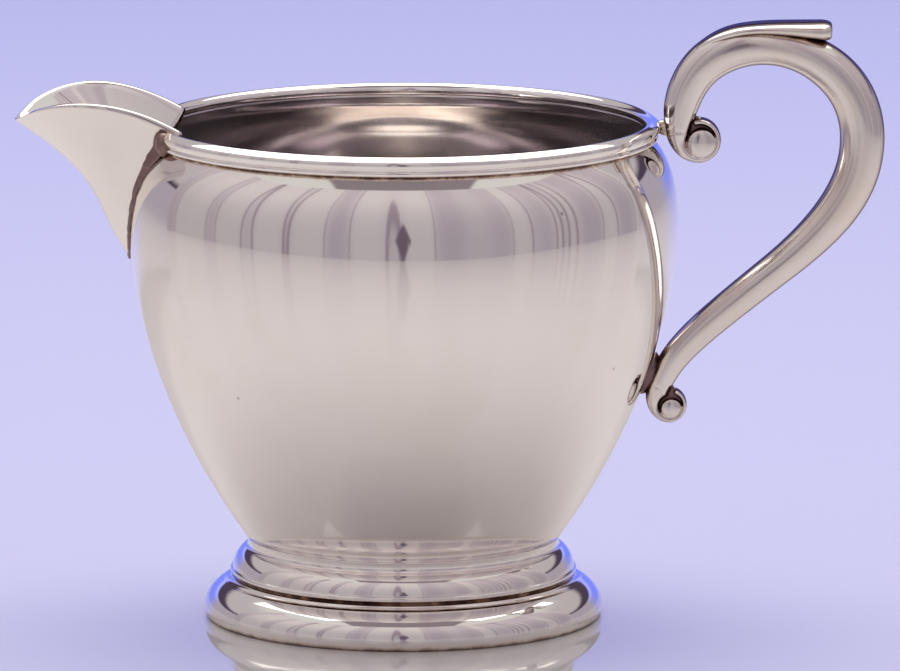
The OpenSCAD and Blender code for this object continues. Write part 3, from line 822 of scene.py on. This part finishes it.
# %% [markdown]
# Along the spout the solder is a fillet. It needs both surfaces' normals at the joint, because
# it fills the corner between them: it reaches far where it is clear of both, and barely where
# it would be inside one.

# %% Normals at the spout's joint
ALONG_STEP, LEAST_SIDE = 0.004, 0.0005


def spout_side_normal(v):
    """The outward normal of the spout's near side, where the line v meets the bowl."""
    t = meeting(v, bowl_radius)
    along = spout_point(t + ALONG_STEP, v) - spout_point(t - ALONG_STEP, v)
    upper, lower = np.minimum(v + ALONG_STEP, 1), np.maximum(v - ALONG_STEP, LEAST_SIDE)
    normal = unit(np.cross(along, spout_point(t, upper) - spout_point(t, lower)))
    return normal * np.where(normal[:, 1] > 0, -1, 1)[:, None]


def bowl_normal(points):
    z, step = points[:, 2], 0.2 * MM
    lean = (bowl_radius(z - step) - bowl_radius(z + step)) / (2 * step)
    flat = unit(points[:, :2])
    return unit(np.concatenate([flat, lean[:, None]], 1))


joint_lines = np.array([0.3, 0.9])
joint_dot = (spout_side_normal(joint_lines) * bowl_normal(
    spout_point(meeting(joint_lines, bowl_radius), joint_lines))).sum(1)
print("angle between spout and bowl, degrees:", np.degrees(np.arccos(joint_dot)).round())

# %% [markdown]
# The fillet starts thin at the keel, grows on the way up, and ends in a knob beside the rim
# wire's cut end. Its section is drawn round the joint line with a reach that changes from
# direction to direction, and it is a little hollow in the middle, as solder that has flowed is.

# %% Run the spout's solder
fillet_r = 1.3 * MM
FILLET_LEAST, FILLET_TOP, FILLET_HOLLOW = 0.3, 0.96, 0.35
FILLET_ROOT, FILLET_SWELL, SWELL_FROM, SWELL_TO = 0.35 * MM, 0.55, 0.7, 0.9
FILLET_STEPS, FILLET_SIDES, FILLET_CLOSE = 130, 40, 0.14
CLEAR_LOW, CLEAR_HIGH, CLEAR_LEAST = -0.35, 0.05, 0.3
KNOB = np.array((1.35, 1.5, 1.75)) * MM
KNOB_ASIDE, KNOB_SUNK, KNOB_DOWN = 0.2, 0.45, 0.62


def fillet_rings(side):
    s = np.linspace(0, 1, FILLET_STEPS + 1)
    v = FILLET_TOP * s ** 1.3
    line = spout_point(meeting(v, bowl_radius), v)
    along = unit(np.gradient(line, axis=0))
    from_bowl, from_spout = bowl_normal(line), spout_side_normal(v)
    left = np.minimum((1 - s) / FILLET_CLOSE, 1)
    half = fillet_r * mix(FILLET_LEAST, 1, s ** 2.5) * mix(0.5, 1, np.sqrt(1 - (1 - left) ** 2))
    half = half * (1 + FILLET_SWELL * smoothstep(SWELL_FROM, SWELL_TO, s))
    rings = []
    for i in range(len(s)):
        out = unit(from_bowl[i] + from_spout[i])
        across = np.cross(along[i], out)
        angle = np.linspace(0, 2 * math.pi, FILLET_SIDES, endpoint=False)[:, None]
        away = np.cos(angle) * out + np.sin(angle) * across
        clear = np.minimum(away @ from_bowl[i], away @ from_spout[i])
        reach = mix(FILLET_ROOT, half[i], smoothstep(CLEAR_LOW, CLEAR_HIGH, clear))
        hollow = 1 - FILLET_HOLLOW * np.clip(clear / max(out @ from_bowl[i], CLEAR_LEAST), 0, 1)
        rings.append((line[i] + (reach * hollow)[:, None] * away) * (1, side, 1))
    return rings


def knob_rings(side):
    turn = float(rim_starts.max()) + KNOB_ASIDE * KNOB[0] / rim_out_r
    out = rim_out_r - KNOB_SUNK * KNOB[0]
    middle = np.array([-out * math.cos(turn), -out * math.sin(turn), rim_z - rim_h * KNOB_DOWN])
    return [ring * (1, side, 1) for ring in ball_rings(middle, KNOB, 21, 32)]


fillet = fused("spout_fillet", [stirred(rings(side)) for side in (1, -1)
                                for rings in (fillet_rings, knob_rings)], SOLDER_VOXEL)

# %% [markdown]
# At the handle's lower seat the solder is a flat oval pad on the belly, pushed out to the
# bowl's wall as the bar is.

# %% Run the lower solder
pad_h, pad_half = handle_t * 0.93, handle_t * 0.22
pad_top_z = seat_z + handle_t * 0.52
PAD_STEPS, PAD_LEAST, PAD_WIDE, PAD_SIDES = 40, 0.15, 1.7, 32


def pad_rings():
    rings = []
    for s in np.linspace(0, 1, PAD_STEPS + 1):
        z = pad_top_z - pad_h * s
        half = pad_half * math.sqrt(max(1 - (2 * s - 1) ** 2, PAD_LEAST ** 2))
        direction = unit([bowl_radius(z - MM) - bowl_radius(z + MM), -2 * MM])
        rings.append(section((bowl_radius(z), z), direction, half, half * PAD_WIDE, 2, PAD_SIDES))
    return rings


pad = fused("lower_solder_pad", [off_the_bowl(stirred(pad_rings()))])

# %% [markdown]
# At the top, three small lumps of solder bridge the gap from the rim wire to the handle. In the
# photograph they are bright, so they get a finish of their own later.

# %% Run the upper solder
joint_from = rim_out_r - rim_round_r * 0.4
joint_to = bar_at(0)[0] - bar_half_t(0) * 0.6
joint_mid = (joint_from + joint_to) / 2
# Each lump's place along the joint and down from the rim's top, and its half sizes, in millimetres
LUMPS = [((-0.15, 0.75), (0.95, 0.9, 0.62)), ((0.25, 1.65), (1.1, 1.0, 0.85)),
         ((0.85, 0.35), (0.7, 0.7, 0.6))]


def lump_rings(place, size):
    middle = np.array([joint_mid + place[0] * MM, 0, rim_z - place[1] * MM])
    return ball_rings(middle, np.array(size) * MM, 19, 28)


bead = fused("upper_solder_bead", [stirred(lump_rings(*lump)) for lump in LUMPS])

# %% [markdown]
# Materials are built with a few helpers. One makes a node and feeds its inputs, whether they
# are values or the outputs of other nodes, and the rest shorten what is used most: a sum, a
# smooth range and a blend of two colours.

# %% Node helpers
def feed(tree, made, inputs):
    for key, value in inputs.items():
        if isinstance(value, bpy.types.NodeSocket):
            tree.links.new(value, made.inputs[key])
        else:
            made.inputs[key].default_value = value
    return made


def node(tree, kind, inputs=None, **settings):
    made = tree.nodes.new("ShaderNode" + kind)
    for key, value in settings.items():
        setattr(made, key, value)
    return feed(tree, made, inputs or {})


def math_node(tree, operation, a, b=None):
    return node(tree, "Math", {0: a} if b is None else {0: a, 1: b}, operation=operation).outputs[0]


def ranged(tree, value, low, high, to_low=0.0, to_high=1.0):
    made = node(tree, "MapRange", {"Value": value, "From Min": low, "From Max": high,
                                   "To Min": to_low, "To Max": to_high},
                interpolation_type="SMOOTHSTEP")
    return made.outputs["Result"]


def blended(tree, share, a, b, how="MIX"):
    made = node(tree, "Mix", {"Factor": share, "A": a, "B": b}, data_type="RGBA", blend_type=how)
    return made.outputs["Result"]


def object_place(tree):
    return node(tree, "TexCoord").outputs["Object"]


def new_look(name):
    """A material with an empty tree."""
    material = bpy.data.materials.new(name)
    material.use_nodes = True
    material.node_tree.nodes.clear()
    return material, material.node_tree


shader_kinds = [kind for kind in dir(bpy.types) if kind.startswith("ShaderNode")]
print("shader nodes to choose from:", len(shader_kinds))

# %% [markdown]
# Each effect that several finishes share is a node group with named inputs and outputs, so
# that sheet, casting and solder can each give it their own values. A group's sockets are made
# on its interface.

# %% Group helpers
def group_with(name, inputs, outputs):
    group = bpy.data.node_groups.new(name, "ShaderNodeTree")
    for label, kind, value in inputs:
        socket = group.interface.new_socket(label, in_out="INPUT", socket_type="NodeSocket" + kind)
        socket.default_value = value
    for label, kind in outputs:
        group.interface.new_socket(label, in_out="OUTPUT", socket_type="NodeSocket" + kind)
    return group, group.nodes.new("NodeGroupInput"), group.nodes.new("NodeGroupOutput")


def placed(tree, group, **values):
    made = tree.nodes.new("ShaderNodeGroup")
    made.node_tree = group
    return feed(tree, made, values)


print("groups so far:", len(bpy.data.node_groups))

# %% [markdown]
# Silver tarnishes in two ways. A thin warm film lies in loose patches, which noise draws, and a
# dark one stays in grooves and joints where no cloth reaches. Ambient occlusion finds those:
# it tells how much of the sky each point sees within a short reach. So the dark it lays in
# grooves and joints, and the warm halo round them, is partly tarnish and partly painted shade.

# %% Tarnish and painted shade group
CLOUD_SCALE, GRAIN_SCALE = 45.0, 420.0
FILM_DULLS = 0.4


def make_tarnish():
    tree, given, out = group_with(
        "tarnish",
        [("Silver", "Color", (0.9, 0.87, 0.84, 1)), ("Warm", "Color", (0.8, 0.7, 0.58, 1)),
         ("Dark", "Color", (0.16, 0.1, 0.1, 1)), ("Patches", "Float", 0.3),
         ("Reach", "Float", 1.5), ("Depth", "Float", 0.9)],
        [("Color", "Color"), ("Dull", "Float")])
    given = given.outputs
    place = object_place(tree)
    cloud = node(tree, "TexNoise", {"Vector": place, "Scale": CLOUD_SCALE, "Detail": 5.0,
                                    "Roughness": 0.6})
    grain = node(tree, "TexNoise", {"Vector": place, "Scale": GRAIN_SCALE, "Detail": 4.0,
                                    "Roughness": 0.65})
    patch = math_node(tree, "MULTIPLY", ranged(tree, cloud.outputs["Fac"], 0.42, 0.7), given["Patches"])
    reach = math_node(tree, "MULTIPLY", given["Reach"], MM)
    # Ambient occlusion paints shade into grooves and joints here, along with the dark tarnish.
    hollow = node(tree, "AmbientOcclusion", {"Distance": reach}, samples=6)
    closed = math_node(tree, "SUBTRACT", 1.0, hollow.outputs["AO"])
    uneven = math_node(tree, "MULTIPLY", ranged(tree, grain.outputs["Fac"], 0.3, 0.7, 0.7, 1.3), closed)
    deep_tarnish_and_shade = math_node(tree, "MULTIPLY", ranged(tree, uneven, 0.3, 0.85), given["Depth"])
    halo_tarnish_and_shade = math_node(tree, "MULTIPLY", ranged(tree, uneven, 0.1, 0.6), given["Depth"])
    filmed = blended(tree, patch, given["Silver"], given["Warm"])
    edged = blended(tree, halo_tarnish_and_shade, filmed, given["Warm"])
    tree.links.new(blended(tree, deep_tarnish_and_shade, edged, given["Dark"]), out.inputs["Color"])
    dull = math_node(tree, "MAXIMUM", deep_tarnish_and_shade, math_node(tree, "MULTIPLY", patch, FILM_DULLS))
    tree.links.new(dull, out.inputs["Dull"])
    return tree


TARNISH_AND_SHADE = make_tarnish()
print(TARNISH_AND_SHADE.name, "has", len(TARNISH_AND_SHADE.nodes), "nodes")

# %% [markdown]
# Polishing leaves hair-fine scratches in a few directions. A noise that is stretched along one
# axis gives long thin lines when only its peaks are kept, and three of them, turned apart,
# cross each other. A slower noise decides where the wear is heavy.

# %% Scratch group
SCRATCH_LAYS = ((0.4, (1, 0.04, 0.6)), (1.9, (1, 0.03, 0.5)), (2.7, (0.8, 0.05, 1)))
TURN_SHARE, WEAR_SCALE = 0.7, 60.0


def make_scratches():
    tree, given, out = group_with("fine_scratches", [("Scale", "Float", 300.0), ("Amount", "Float", 0.5)],
                                  [("Height", "Float"), ("Haze", "Float")])
    place = object_place(tree)
    total = 0.0
    for turn, stretch in SCRATCH_LAYS:
        laid = node(tree, "Mapping", {"Vector": place, "Rotation": (turn, turn * TURN_SHARE, turn),
                                      "Scale": stretch})
        lines = node(tree, "TexNoise", {"Vector": laid.outputs[0], "Scale": given.outputs["Scale"],
                                        "Detail": 2.0, "Roughness": 0.7})
        total = math_node(tree, "MAXIMUM", total, ranged(tree, lines.outputs["Fac"], 0.62, 0.72))
    where = node(tree, "TexNoise", {"Vector": place, "Scale": WEAR_SCALE, "Detail": 3.0})
    worn = math_node(tree, "MULTIPLY", total, ranged(tree, where.outputs["Fac"], 0.4, 0.65, 0.2, 1.0))
    kept = math_node(tree, "MULTIPLY", worn, given.outputs["Amount"])
    tree.links.new(math_node(tree, "MULTIPLY", kept, -1.0), out.inputs["Height"])
    tree.links.new(kept, out.inputs["Haze"])
    return tree


SCRATCHES = make_scratches()
print(SCRATCHES.name, "has", len(SCRATCHES.nodes), "nodes")

# %% [markdown]
# Pits are rare and small. A cell noise gives each cell a colour by chance, so only a few cells
# are let through, and the distance to the cell's own point makes the round spot.

# %% Pit group
PIT_CHANCE, PIT_SIZE = 0.86, 0.05


def make_pits():
    tree, given, out = group_with("pits", [("Scale", "Float", 130.0), ("Amount", "Float", 0.5)],
                                  [("Mask", "Float"), ("Height", "Float")])
    cells = node(tree, "TexVoronoi", {"Vector": object_place(tree), "Scale": given.outputs["Scale"]})
    chance = node(tree, "SeparateColor", {0: cells.outputs["Color"]})
    rare = math_node(tree, "GREATER_THAN", chance.outputs[0], PIT_CHANCE)
    spot = ranged(tree, cells.outputs["Distance"], PIT_SIZE, 0.0)
    mask = math_node(tree, "MULTIPLY", math_node(tree, "MULTIPLY", rare, spot), given.outputs["Amount"])
    tree.links.new(mask, out.inputs["Mask"])
    tree.links.new(math_node(tree, "MULTIPLY", mask, -1.0), out.inputs["Height"])
    return tree


PITS = make_pits()
print(PITS.name, "has", len(PITS.nodes), "nodes")

# %% [markdown]
# One function makes every finish. Silver looks like what surrounds it, so a finish is mostly in
# small departures from a mirror: the tarnish, with painted shade in grooves and joints, colours
# and dulls it, slow waves from the hammer bend its reflections, and scratches and pits break them.
# The tint of the glancing reflection is one colour all over, so it is set on the shader itself.

# %% How a finish is made
MARK_SCALE, PIT_SCALE, WAVE_SCALE = 300.0, 130.0, 55.0
HAZE_SHARE, PIT_DEEPER, FINE_STRENGTH, FINE_DEEP = 0.12, 4.0, 0.6, 0.006 * MM


def silver(name, colour, warm, dark, patches, reach, depth, gloss, dulled, scratches, waves, pits,
           metal=1.0, edge=(1, 1, 1)):
    material, tree = new_look(name)
    stain_and_shade = placed(tree, TARNISH_AND_SHADE, Silver=colour, Warm=(*warm, 1), Dark=(*dark, 1), Patches=patches,
                   Reach=reach, Depth=depth)
    marks = placed(tree, SCRATCHES, Scale=MARK_SCALE, Amount=scratches)
    holes = placed(tree, PITS, Scale=PIT_SCALE, Amount=pits)
    spotted = blended(tree, holes.outputs["Mask"], stain_and_shade.outputs["Color"], (*dark, 1))
    rough = node(tree, "MapRange", {"Value": stain_and_shade.outputs["Dull"], "To Min": gloss, "To Max": dulled})
    hazy = math_node(tree, "MULTIPLY", marks.outputs["Haze"], HAZE_SHARE)
    swell = node(tree, "TexNoise", {"Vector": object_place(tree), "Scale": WAVE_SCALE, "Detail": 1.0})
    waved = node(tree, "Bump", {"Height": swell.outputs["Fac"], "Strength": 1.0, "Distance": waves * MM})
    pitted = math_node(tree, "MULTIPLY", holes.outputs["Height"], PIT_DEEPER)
    scored = math_node(tree, "ADD", marks.outputs["Height"], pitted)
    fine = node(tree, "Bump", {"Height": scored, "Normal": waved.outputs[0], "Strength": FINE_STRENGTH,
                               "Distance": FINE_DEEP})
    shader = node(tree, "BsdfPrincipled", {
        "Base Color": spotted, "Metallic": metal, "Specular Tint": (*edge, 1),
        "Roughness": math_node(tree, "ADD", rough.outputs[0], hazy), "Normal": fine.outputs[0]})
    tree.links.new(shader.outputs[0], node(tree, "OutputMaterial").inputs["Surface"])
    return material


print("a finish is made of:", TARNISH_AND_SHADE.name, SCRATCHES.name, PITS.name)

# %% [markdown]
# Four finishes have one colour of silver each. The polished sheet of the bowl, spout, rim and
# foot is nearly a mirror. The cast silver of the handle is a little rougher and warmer, and its
# reflections are darkened at glancing angles, which paints shade along the handle's rounded
# edges. The old solder is dull, plum brown and pitted, and the solder at the handle's upper
# joint has stayed bright.

# %% Silver and solder
WARM_TAN, PLUM_BROWN = (0.74, 0.6, 0.46), (0.13, 0.075, 0.08)
sheet_silver = silver("polished_sheet", (0.93, 0.895, 0.865, 1), WARM_TAN, PLUM_BROWN, patches=0.12,
                      reach=1.3, depth=0.85, gloss=0.05, dulled=0.3, scratches=0.45, waves=0.05, pits=0.8)
# The dark glancing tint given as edge paints shade along the handle's rounded edges.
cast_silver = silver("cast_silver", (0.86, 0.81, 0.78, 1), WARM_TAN, PLUM_BROWN, patches=0.35,
                     reach=2.2, depth=0.95, gloss=0.11, dulled=0.4, scratches=0.6, waves=0.03, pits=0.5,
                     edge=(0.2, 0.15, 0.18))
solder = silver("old_solder_and_pocket_shade", (0.2, 0.135, 0.16, 1), (0.3, 0.2, 0.17), PLUM_BROWN, patches=0.7,
                reach=2.0, depth=0.9, gloss=0.32, dulled=0.5, scratches=0.3, waves=0.06, pits=0.8)
bright_solder = silver("bright_solder", (0.66, 0.58, 0.56, 1), WARM_TAN, PLUM_BROWN, patches=0.6,
                       reach=1.2, depth=0.9, gloss=0.14, dulled=0.4, scratches=0.3, waves=0.06, pits=0.8)
print("finishes:", [look.name for look in (sheet_silver, cast_silver, solder, bright_solder)])

# %% [markdown]
# The bowl's lining is the fifth finish, duller than the outside, because cream stains it and a
# cloth hardly reaches it. Its colour also carries painted light and shade: painted light across
# the middle, painted shade a little way off it, and half shade at its ends by the spout and the
# handle. So its silver is blended by how far a point lies to either side of the axis.

# %% Dull lining with painted light and shade
LINING_LIT_MIDDLE, LINING_SHADED_ASIDE = (0.9, 0.86, 0.82, 1), (0.37, 0.335, 0.345, 1)
LINING_HALF_SHADED_ENDS = (0.66, 0.6, 0.64, 1)
ASIDE_FROM, ASIDE_TO = 8 * MM, 17 * MM
FAR_FROM, FAR_TO = 22 * MM, 30 * MM

lining = silver("dull_lining_painted_shade", LINING_LIT_MIDDLE, (0.5, 0.4, 0.4), PLUM_BROWN, patches=0.3, reach=6.0,
                depth=0.5, gloss=0.12, dulled=0.3, scratches=0.8, waves=0.25, pits=0.8, metal=0.93)
tree = lining.node_tree
# Painted light and shade: pale across the middle, dark to either side, half dark at the ends.
across = node(tree, "SeparateXYZ", {0: object_place(tree)}).outputs["X"]
off_axis = math_node(tree, "ABSOLUTE", across)
shaded_aside = blended(tree, ranged(tree, off_axis, ASIDE_FROM, ASIDE_TO), LINING_LIT_MIDDLE, LINING_SHADED_ASIDE)
painted_light_and_shade = blended(tree, ranged(tree, off_axis, FAR_FROM, FAR_TO), shaded_aside, LINING_HALF_SHADED_ENDS)
stain_and_shade = next(part for part in tree.nodes if part.type == "GROUP" and part.node_tree == TARNISH_AND_SHADE)
feed(tree, stain_and_shade, {"Silver": painted_light_and_shade})
print("the lining's silver comes from:", stain_and_shade.inputs["Silver"].links[0].from_node.name)

# %% [markdown]
# Each piece now stands for its CAD node, rides on the one rigid body, and takes its finish.
# Nothing on a creamer moves: every joint is soldered.

# %% Hand over the nodes
STANDS_FOR = [
    (bowl, "bowl", sheet_silver, "silver"), (rim_wire, "rim_wire", sheet_silver, "silver"),
    (spout, "spout", sheet_silver, "silver"), (fillet, "spout_solder", solder, "solder"),
    (collar, "foot_collar", sheet_silver, "silver"), (base, "foot_base", sheet_silver, "silver"),
    (bar, "handle_bar", cast_silver, "cast_silver"), (leaf, "thumb_leaf", cast_silver, "cast_silver"),
    (upper_curl, "upper_curl", cast_silver, "cast_silver"),
    (lower_curl, "lower_curl", cast_silver, "cast_silver"),
    (bead, "upper_solder", bright_solder, "solder"), (pad, "lower_solder", solder, "solder")]
for piece, cad_node, finish, slot in STANDS_FOR:
    piece.data.materials.append(finish)
    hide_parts(cad_node)
    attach(piece, "root")
print("pieces:", len(STANDS_FOR))

# %% [markdown]
# Some pieces have a second finish on some of their faces: the bowl's inner faces are lined, and
# the recessed webs of the curls get the dark old solder finish, which paints the shade that
# falls in such pockets. A face is told by where its middle is and which way it looks.

# %% Faces with a second finish
INSIDE_SHARE, LIP_CLEAR = 0.7, 0.05 * MM
POCKET_DEEP, POCKET_FACING = 1.0 * MM, 0.75


def is_inside(face):
    x, y, z = face.center
    return z < lip_z - LIP_CLEAR and math.hypot(x, y) < bowl_radius(z) - bowl_wall * INSIDE_SHARE


# The webs' faces are painted dark for the shade in the curls' pockets.
def is_shaded_pocket(face):
    return abs(face.center.y) < POCKET_DEEP and abs(face.normal.y) > POCKET_FACING


for piece, second, belongs in ((bowl, lining, is_inside), (upper_curl, solder, is_shaded_pocket),
                               (lower_curl, solder, is_shaded_pocket)):
    piece.data.materials.append(second)
    for face in piece.data.polygons:
        face.material_index = int(belongs(face))
    print(piece.name, "faces with", second.name + ":", sum(f.material_index for f in piece.data.polygons))

# %% [markdown]
# The studio is a pale glossy table in a tent of soft cloth. Seen from this low, the table
# mirrors the tent's bluish back, which gives the lavender ground, and the creamer's front
# mirrors the table, so the table's own grey sets how light the belly looks.

# %% Floor
FLOOR_HALF = 4.0
FLOOR_CORNERS = [(-1, -1, 0), (1, -1, 0), (1, 1, 0), (-1, 1, 0)]
TABLE_PALE, TABLE_GLOSS = (0.76, 0.745, 0.74, 1), 0.05


def studio_piece(name, points, faces, look):
    mesh = bpy.data.meshes.new(name)
    mesh.from_pydata(points, [], faces)
    mesh.materials.append(look)
    made = bpy.data.objects.new(name, mesh)
    bpy.context.scene.collection.objects.link(made)
    return made


table_look, tree = new_look("white_table")
top = node(tree, "BsdfPrincipled", {"Base Color": TABLE_PALE, "Roughness": TABLE_GLOSS})
tree.links.new(top.outputs[0], node(tree, "OutputMaterial").inputs["Surface"])
floor = studio_piece("table", FLOOR_CORNERS, [(0, 1, 2, 3)], table_look)
floor.scale = (FLOOR_HALF, FLOOR_HALF, 1)
print("table, m:", 2 * FLOOR_HALF)

# %% [markdown]
# The tent's cloth hangs in upright folds round the front and the sides, and is open at the
# back. On the creamer's shoulder it ends the table's image, in a line that rises to both sides
# in the photograph, and that line told how far away it stands. Its folds are a noise that is
# stretched upwards, painted as darker and paler glow for the folds' shade and light, with a
# dusky seam where the noise crosses its middle value.

# %% The cloth's finish
FOLD_STRETCH, FOLD_SCALE = 0.025, 7.4
CLOTH_LOW, CLOTH_UP = (0.4, 0.365, 0.395, 1), (0.59, 0.53, 0.55, 1)
PALE_FROM, PALE_TO = 0.06, 0.55
FOLD_DARK, FOLD_PALE, SEAM = (0.88, 0.85, 0.9, 1), (1.14, 1.15, 1.12, 1), (0.62, 0.56, 0.62, 1)
SEAM_WIDE, SEAM_CORE = 0.014, 0.003
SLIT_HALF_WIDE, SLIT_AT, SLIT_HALF_TALL, SLIT_DARK = 0.028, 0.09, 0.12, (0.13, 0.1, 0.14, 1)
SLIT_OUT, SLIT_IN = 1.15, 0.75

cloth_look, tree = new_look("tent_cloth")
place = object_place(tree)
drawn = node(tree, "Mapping", {"Vector": place, "Scale": (1, 1, FOLD_STRETCH)}).outputs[0]
folds = node(tree, "TexNoise", {"Vector": drawn, "Scale": FOLD_SCALE, "Detail": 0.5}).outputs["Fac"]
where = node(tree, "SeparateXYZ", {0: place})
height = where.outputs["Z"]
rising = blended(tree, ranged(tree, height, PALE_FROM, PALE_TO), CLOTH_LOW, CLOTH_UP)
from_seam = math_node(tree, "ABSOLUTE", math_node(tree, "SUBTRACT", folds, 0.5))
# Painted shade and light of the folds: darker and paler glow across the noise.
fold_light_and_shade = blended(tree, ranged(tree, folds, 0.35, 0.6), FOLD_DARK, FOLD_PALE)
seamed = blended(tree, ranged(tree, from_seam, SEAM_WIDE, SEAM_CORE), fold_light_and_shade, SEAM)
cloth_tone = blended(tree, 1.0, rising, seamed, "MULTIPLY")
print("nodes that drape the cloth:", len(tree.nodes))

# %% [markdown]
# The opening for the lens is a narrow dark diamond in the cloth's middle. Its shape is the sum
# of two distances, each divided by the diamond's half size that way. The cloth only glows,
# since it is lit from behind in such a tent, and it is hidden from the camera alone.

# %% Tent's front
CLOTH_AT, CLOTH_ASIDE, CLOTH_HIGH, CLOTH_OPEN = 0.5, 0.66, 0.76, 60
CLOTH_FOOT, CLOTH_COLUMNS = 0.0005, 121

sideways = math_node(tree, "DIVIDE", math_node(tree, "ABSOLUTE", where.outputs["X"]), SLIT_HALF_WIDE)
off_middle = math_node(tree, "ABSOLUTE", math_node(tree, "SUBTRACT", height, SLIT_AT))
upwards = math_node(tree, "DIVIDE", off_middle, SLIT_HALF_TALL)
slit = ranged(tree, math_node(tree, "ADD", sideways, upwards), SLIT_OUT, SLIT_IN)
opened = blended(tree, slit, cloth_tone, SLIT_DARK)
glow = node(tree, "Emission", {"Color": opened, "Strength": 1.0})
tree.links.new(glow.outputs[0], node(tree, "OutputMaterial").inputs["Surface"])

turns = np.radians(np.linspace(CLOTH_OPEN, 360 - CLOTH_OPEN, CLOTH_COLUMNS))
hem = [(CLOTH_ASIDE * math.sin(a), CLOTH_AT * math.cos(a)) for a in turns]
cloth = studio_piece("tent_front", [(x, y, z) for z in (CLOTH_FOOT, CLOTH_HIGH) for x, y in hem],
                     skin_faces(2, CLOTH_COLUMNS, closed_ring=False), cloth_look)
cloth.visible_camera = False
print("cloth columns:", len(hem))

# %% [markdown]
# Round all that, the world gives the tent's far parts by direction alone: a lavender back low
# down, a dusky band over it that draws the dark outlines of the handle, grey cloth in front, and
# a pale roof. How far a direction points to the back is its Y over its level length, so that
# the sides keep their place at every height.

# %% Tent's back
BACK_LOW, BACK_HIGH = (0.22, 0.28, 1.06, 1), (0.43, 0.47, 1.28, 1)
SIDE, DUSK, FRONT = (0.4, 0.36, 0.43, 1), (0.07, 0.05, 0.085, 1), (0.5, 0.46, 0.48, 1)
BACK_RISE, DUSK_RISE, DUSK_FADE = (0.13, 0.2), (0.212, 0.24), 0.08
ASTERN_BACK, ASTERN_FRONT = (0.76, 0.96), (-0.1, 0.25)
DUSK_TOP_ASTERN, DUSK_TOP = (0.5, 0.95), (0.24, 0.34)

world = bpy.data.worlds.new("tent")
bpy.context.scene.world = world
world.use_nodes = True
tree = world.node_tree
tree.nodes.clear()
toward = node(tree, "SeparateXYZ", {0: node(tree, "TexCoord").outputs["Generated"]})
aside, ahead, up = (toward.outputs[axis] for axis in "XYZ")
level = math_node(tree, "SQRT", math_node(tree, "SUBTRACT", 1.0, math_node(tree, "MULTIPLY", up, up)))
astern = math_node(tree, "DIVIDE", ahead, level)
lavender = blended(tree, ranged(tree, up, *BACK_RISE), BACK_LOW, BACK_HIGH)
low = blended(tree, ranged(tree, astern, *ASTERN_BACK), SIDE, lavender)
dusky = blended(tree, ranged(tree, up, *DUSK_RISE), low, DUSK)
over_dusk = math_node(tree, "SUBTRACT", up, ranged(tree, astern, *DUSK_TOP_ASTERN, *DUSK_TOP))
back = blended(tree, ranged(tree, over_dusk, 0.0, DUSK_FADE), dusky, FRONT)
around = blended(tree, ranged(tree, astern, *ASTERN_FRONT), FRONT, back)
print("world's nodes for the back:", len(tree.nodes))

# %% [markdown]
# The roof is pale, and over the camera it has a wide gap, where the tent is open: that is the
# darker rectangle that the foot and the rim mirror in the middle.

# %% Tent's roof
GAP, ROOF = (0.25, 0.21, 0.23, 1), (0.68, 0.66, 0.64, 1)
ROOF_RISE, GAP_RISE, GAP_HALF = (0.55, 0.75), (0.3, 0.4), (0.4, 0.37)
GAP_NEAR, GAP_FAR = (-0.1, -0.16), (-0.62, -0.58)

roofed = blended(tree, ranged(tree, up, *ROOF_RISE), around, ROOF)
narrow = ranged(tree, math_node(tree, "ABSOLUTE", aside), *GAP_HALF)
forward = math_node(tree, "MULTIPLY", ranged(tree, ahead, *GAP_NEAR), ranged(tree, ahead, *GAP_FAR))
raised = math_node(tree, "MULTIPLY", forward, ranged(tree, up, *GAP_RISE))
sky = blended(tree, math_node(tree, "MULTIPLY", narrow, raised), roofed, GAP)
background = node(tree, "Background", {"Color": sky, "Strength": 1.0})
tree.links.new(background.outputs[0], node(tree, "OutputWorld").inputs["Surface"])
print("world's nodes with the roof:", len(tree.nodes))

# %% [markdown]
# One broad lamp hangs above the creamer and a little behind it, tilted forward. Its panel draws
# the white lines along the rim and the leaf, and lays the soft shadow under the foot. Its energy
# is worked out from its area, so that a larger panel is no brighter.

# %% Lamp
PANEL_AT, PANEL_SIZE, PANEL_GLOW, PANEL_TILT = (0, 0.29, 0.85), (1.1, 0.86), 1.85, 22
LAMP_WARM = (1, 0.97, 0.93)

panel_data = bpy.data.lights.new("roof_panel", "AREA")
panel_data.shape, panel_data.size, panel_data.size_y = "RECTANGLE", *PANEL_SIZE
panel_data.energy = PANEL_GLOW * math.pi * PANEL_SIZE[0] * PANEL_SIZE[1]
panel_data.color = LAMP_WARM
panel = bpy.data.objects.new("roof_panel", panel_data)
panel.location = PANEL_AT
panel.rotation_euler.x = -math.radians(PANEL_TILT)
bpy.context.scene.collection.objects.link(panel)
print("lamp, W:", round(panel_data.energy, 2))

# %% [markdown]
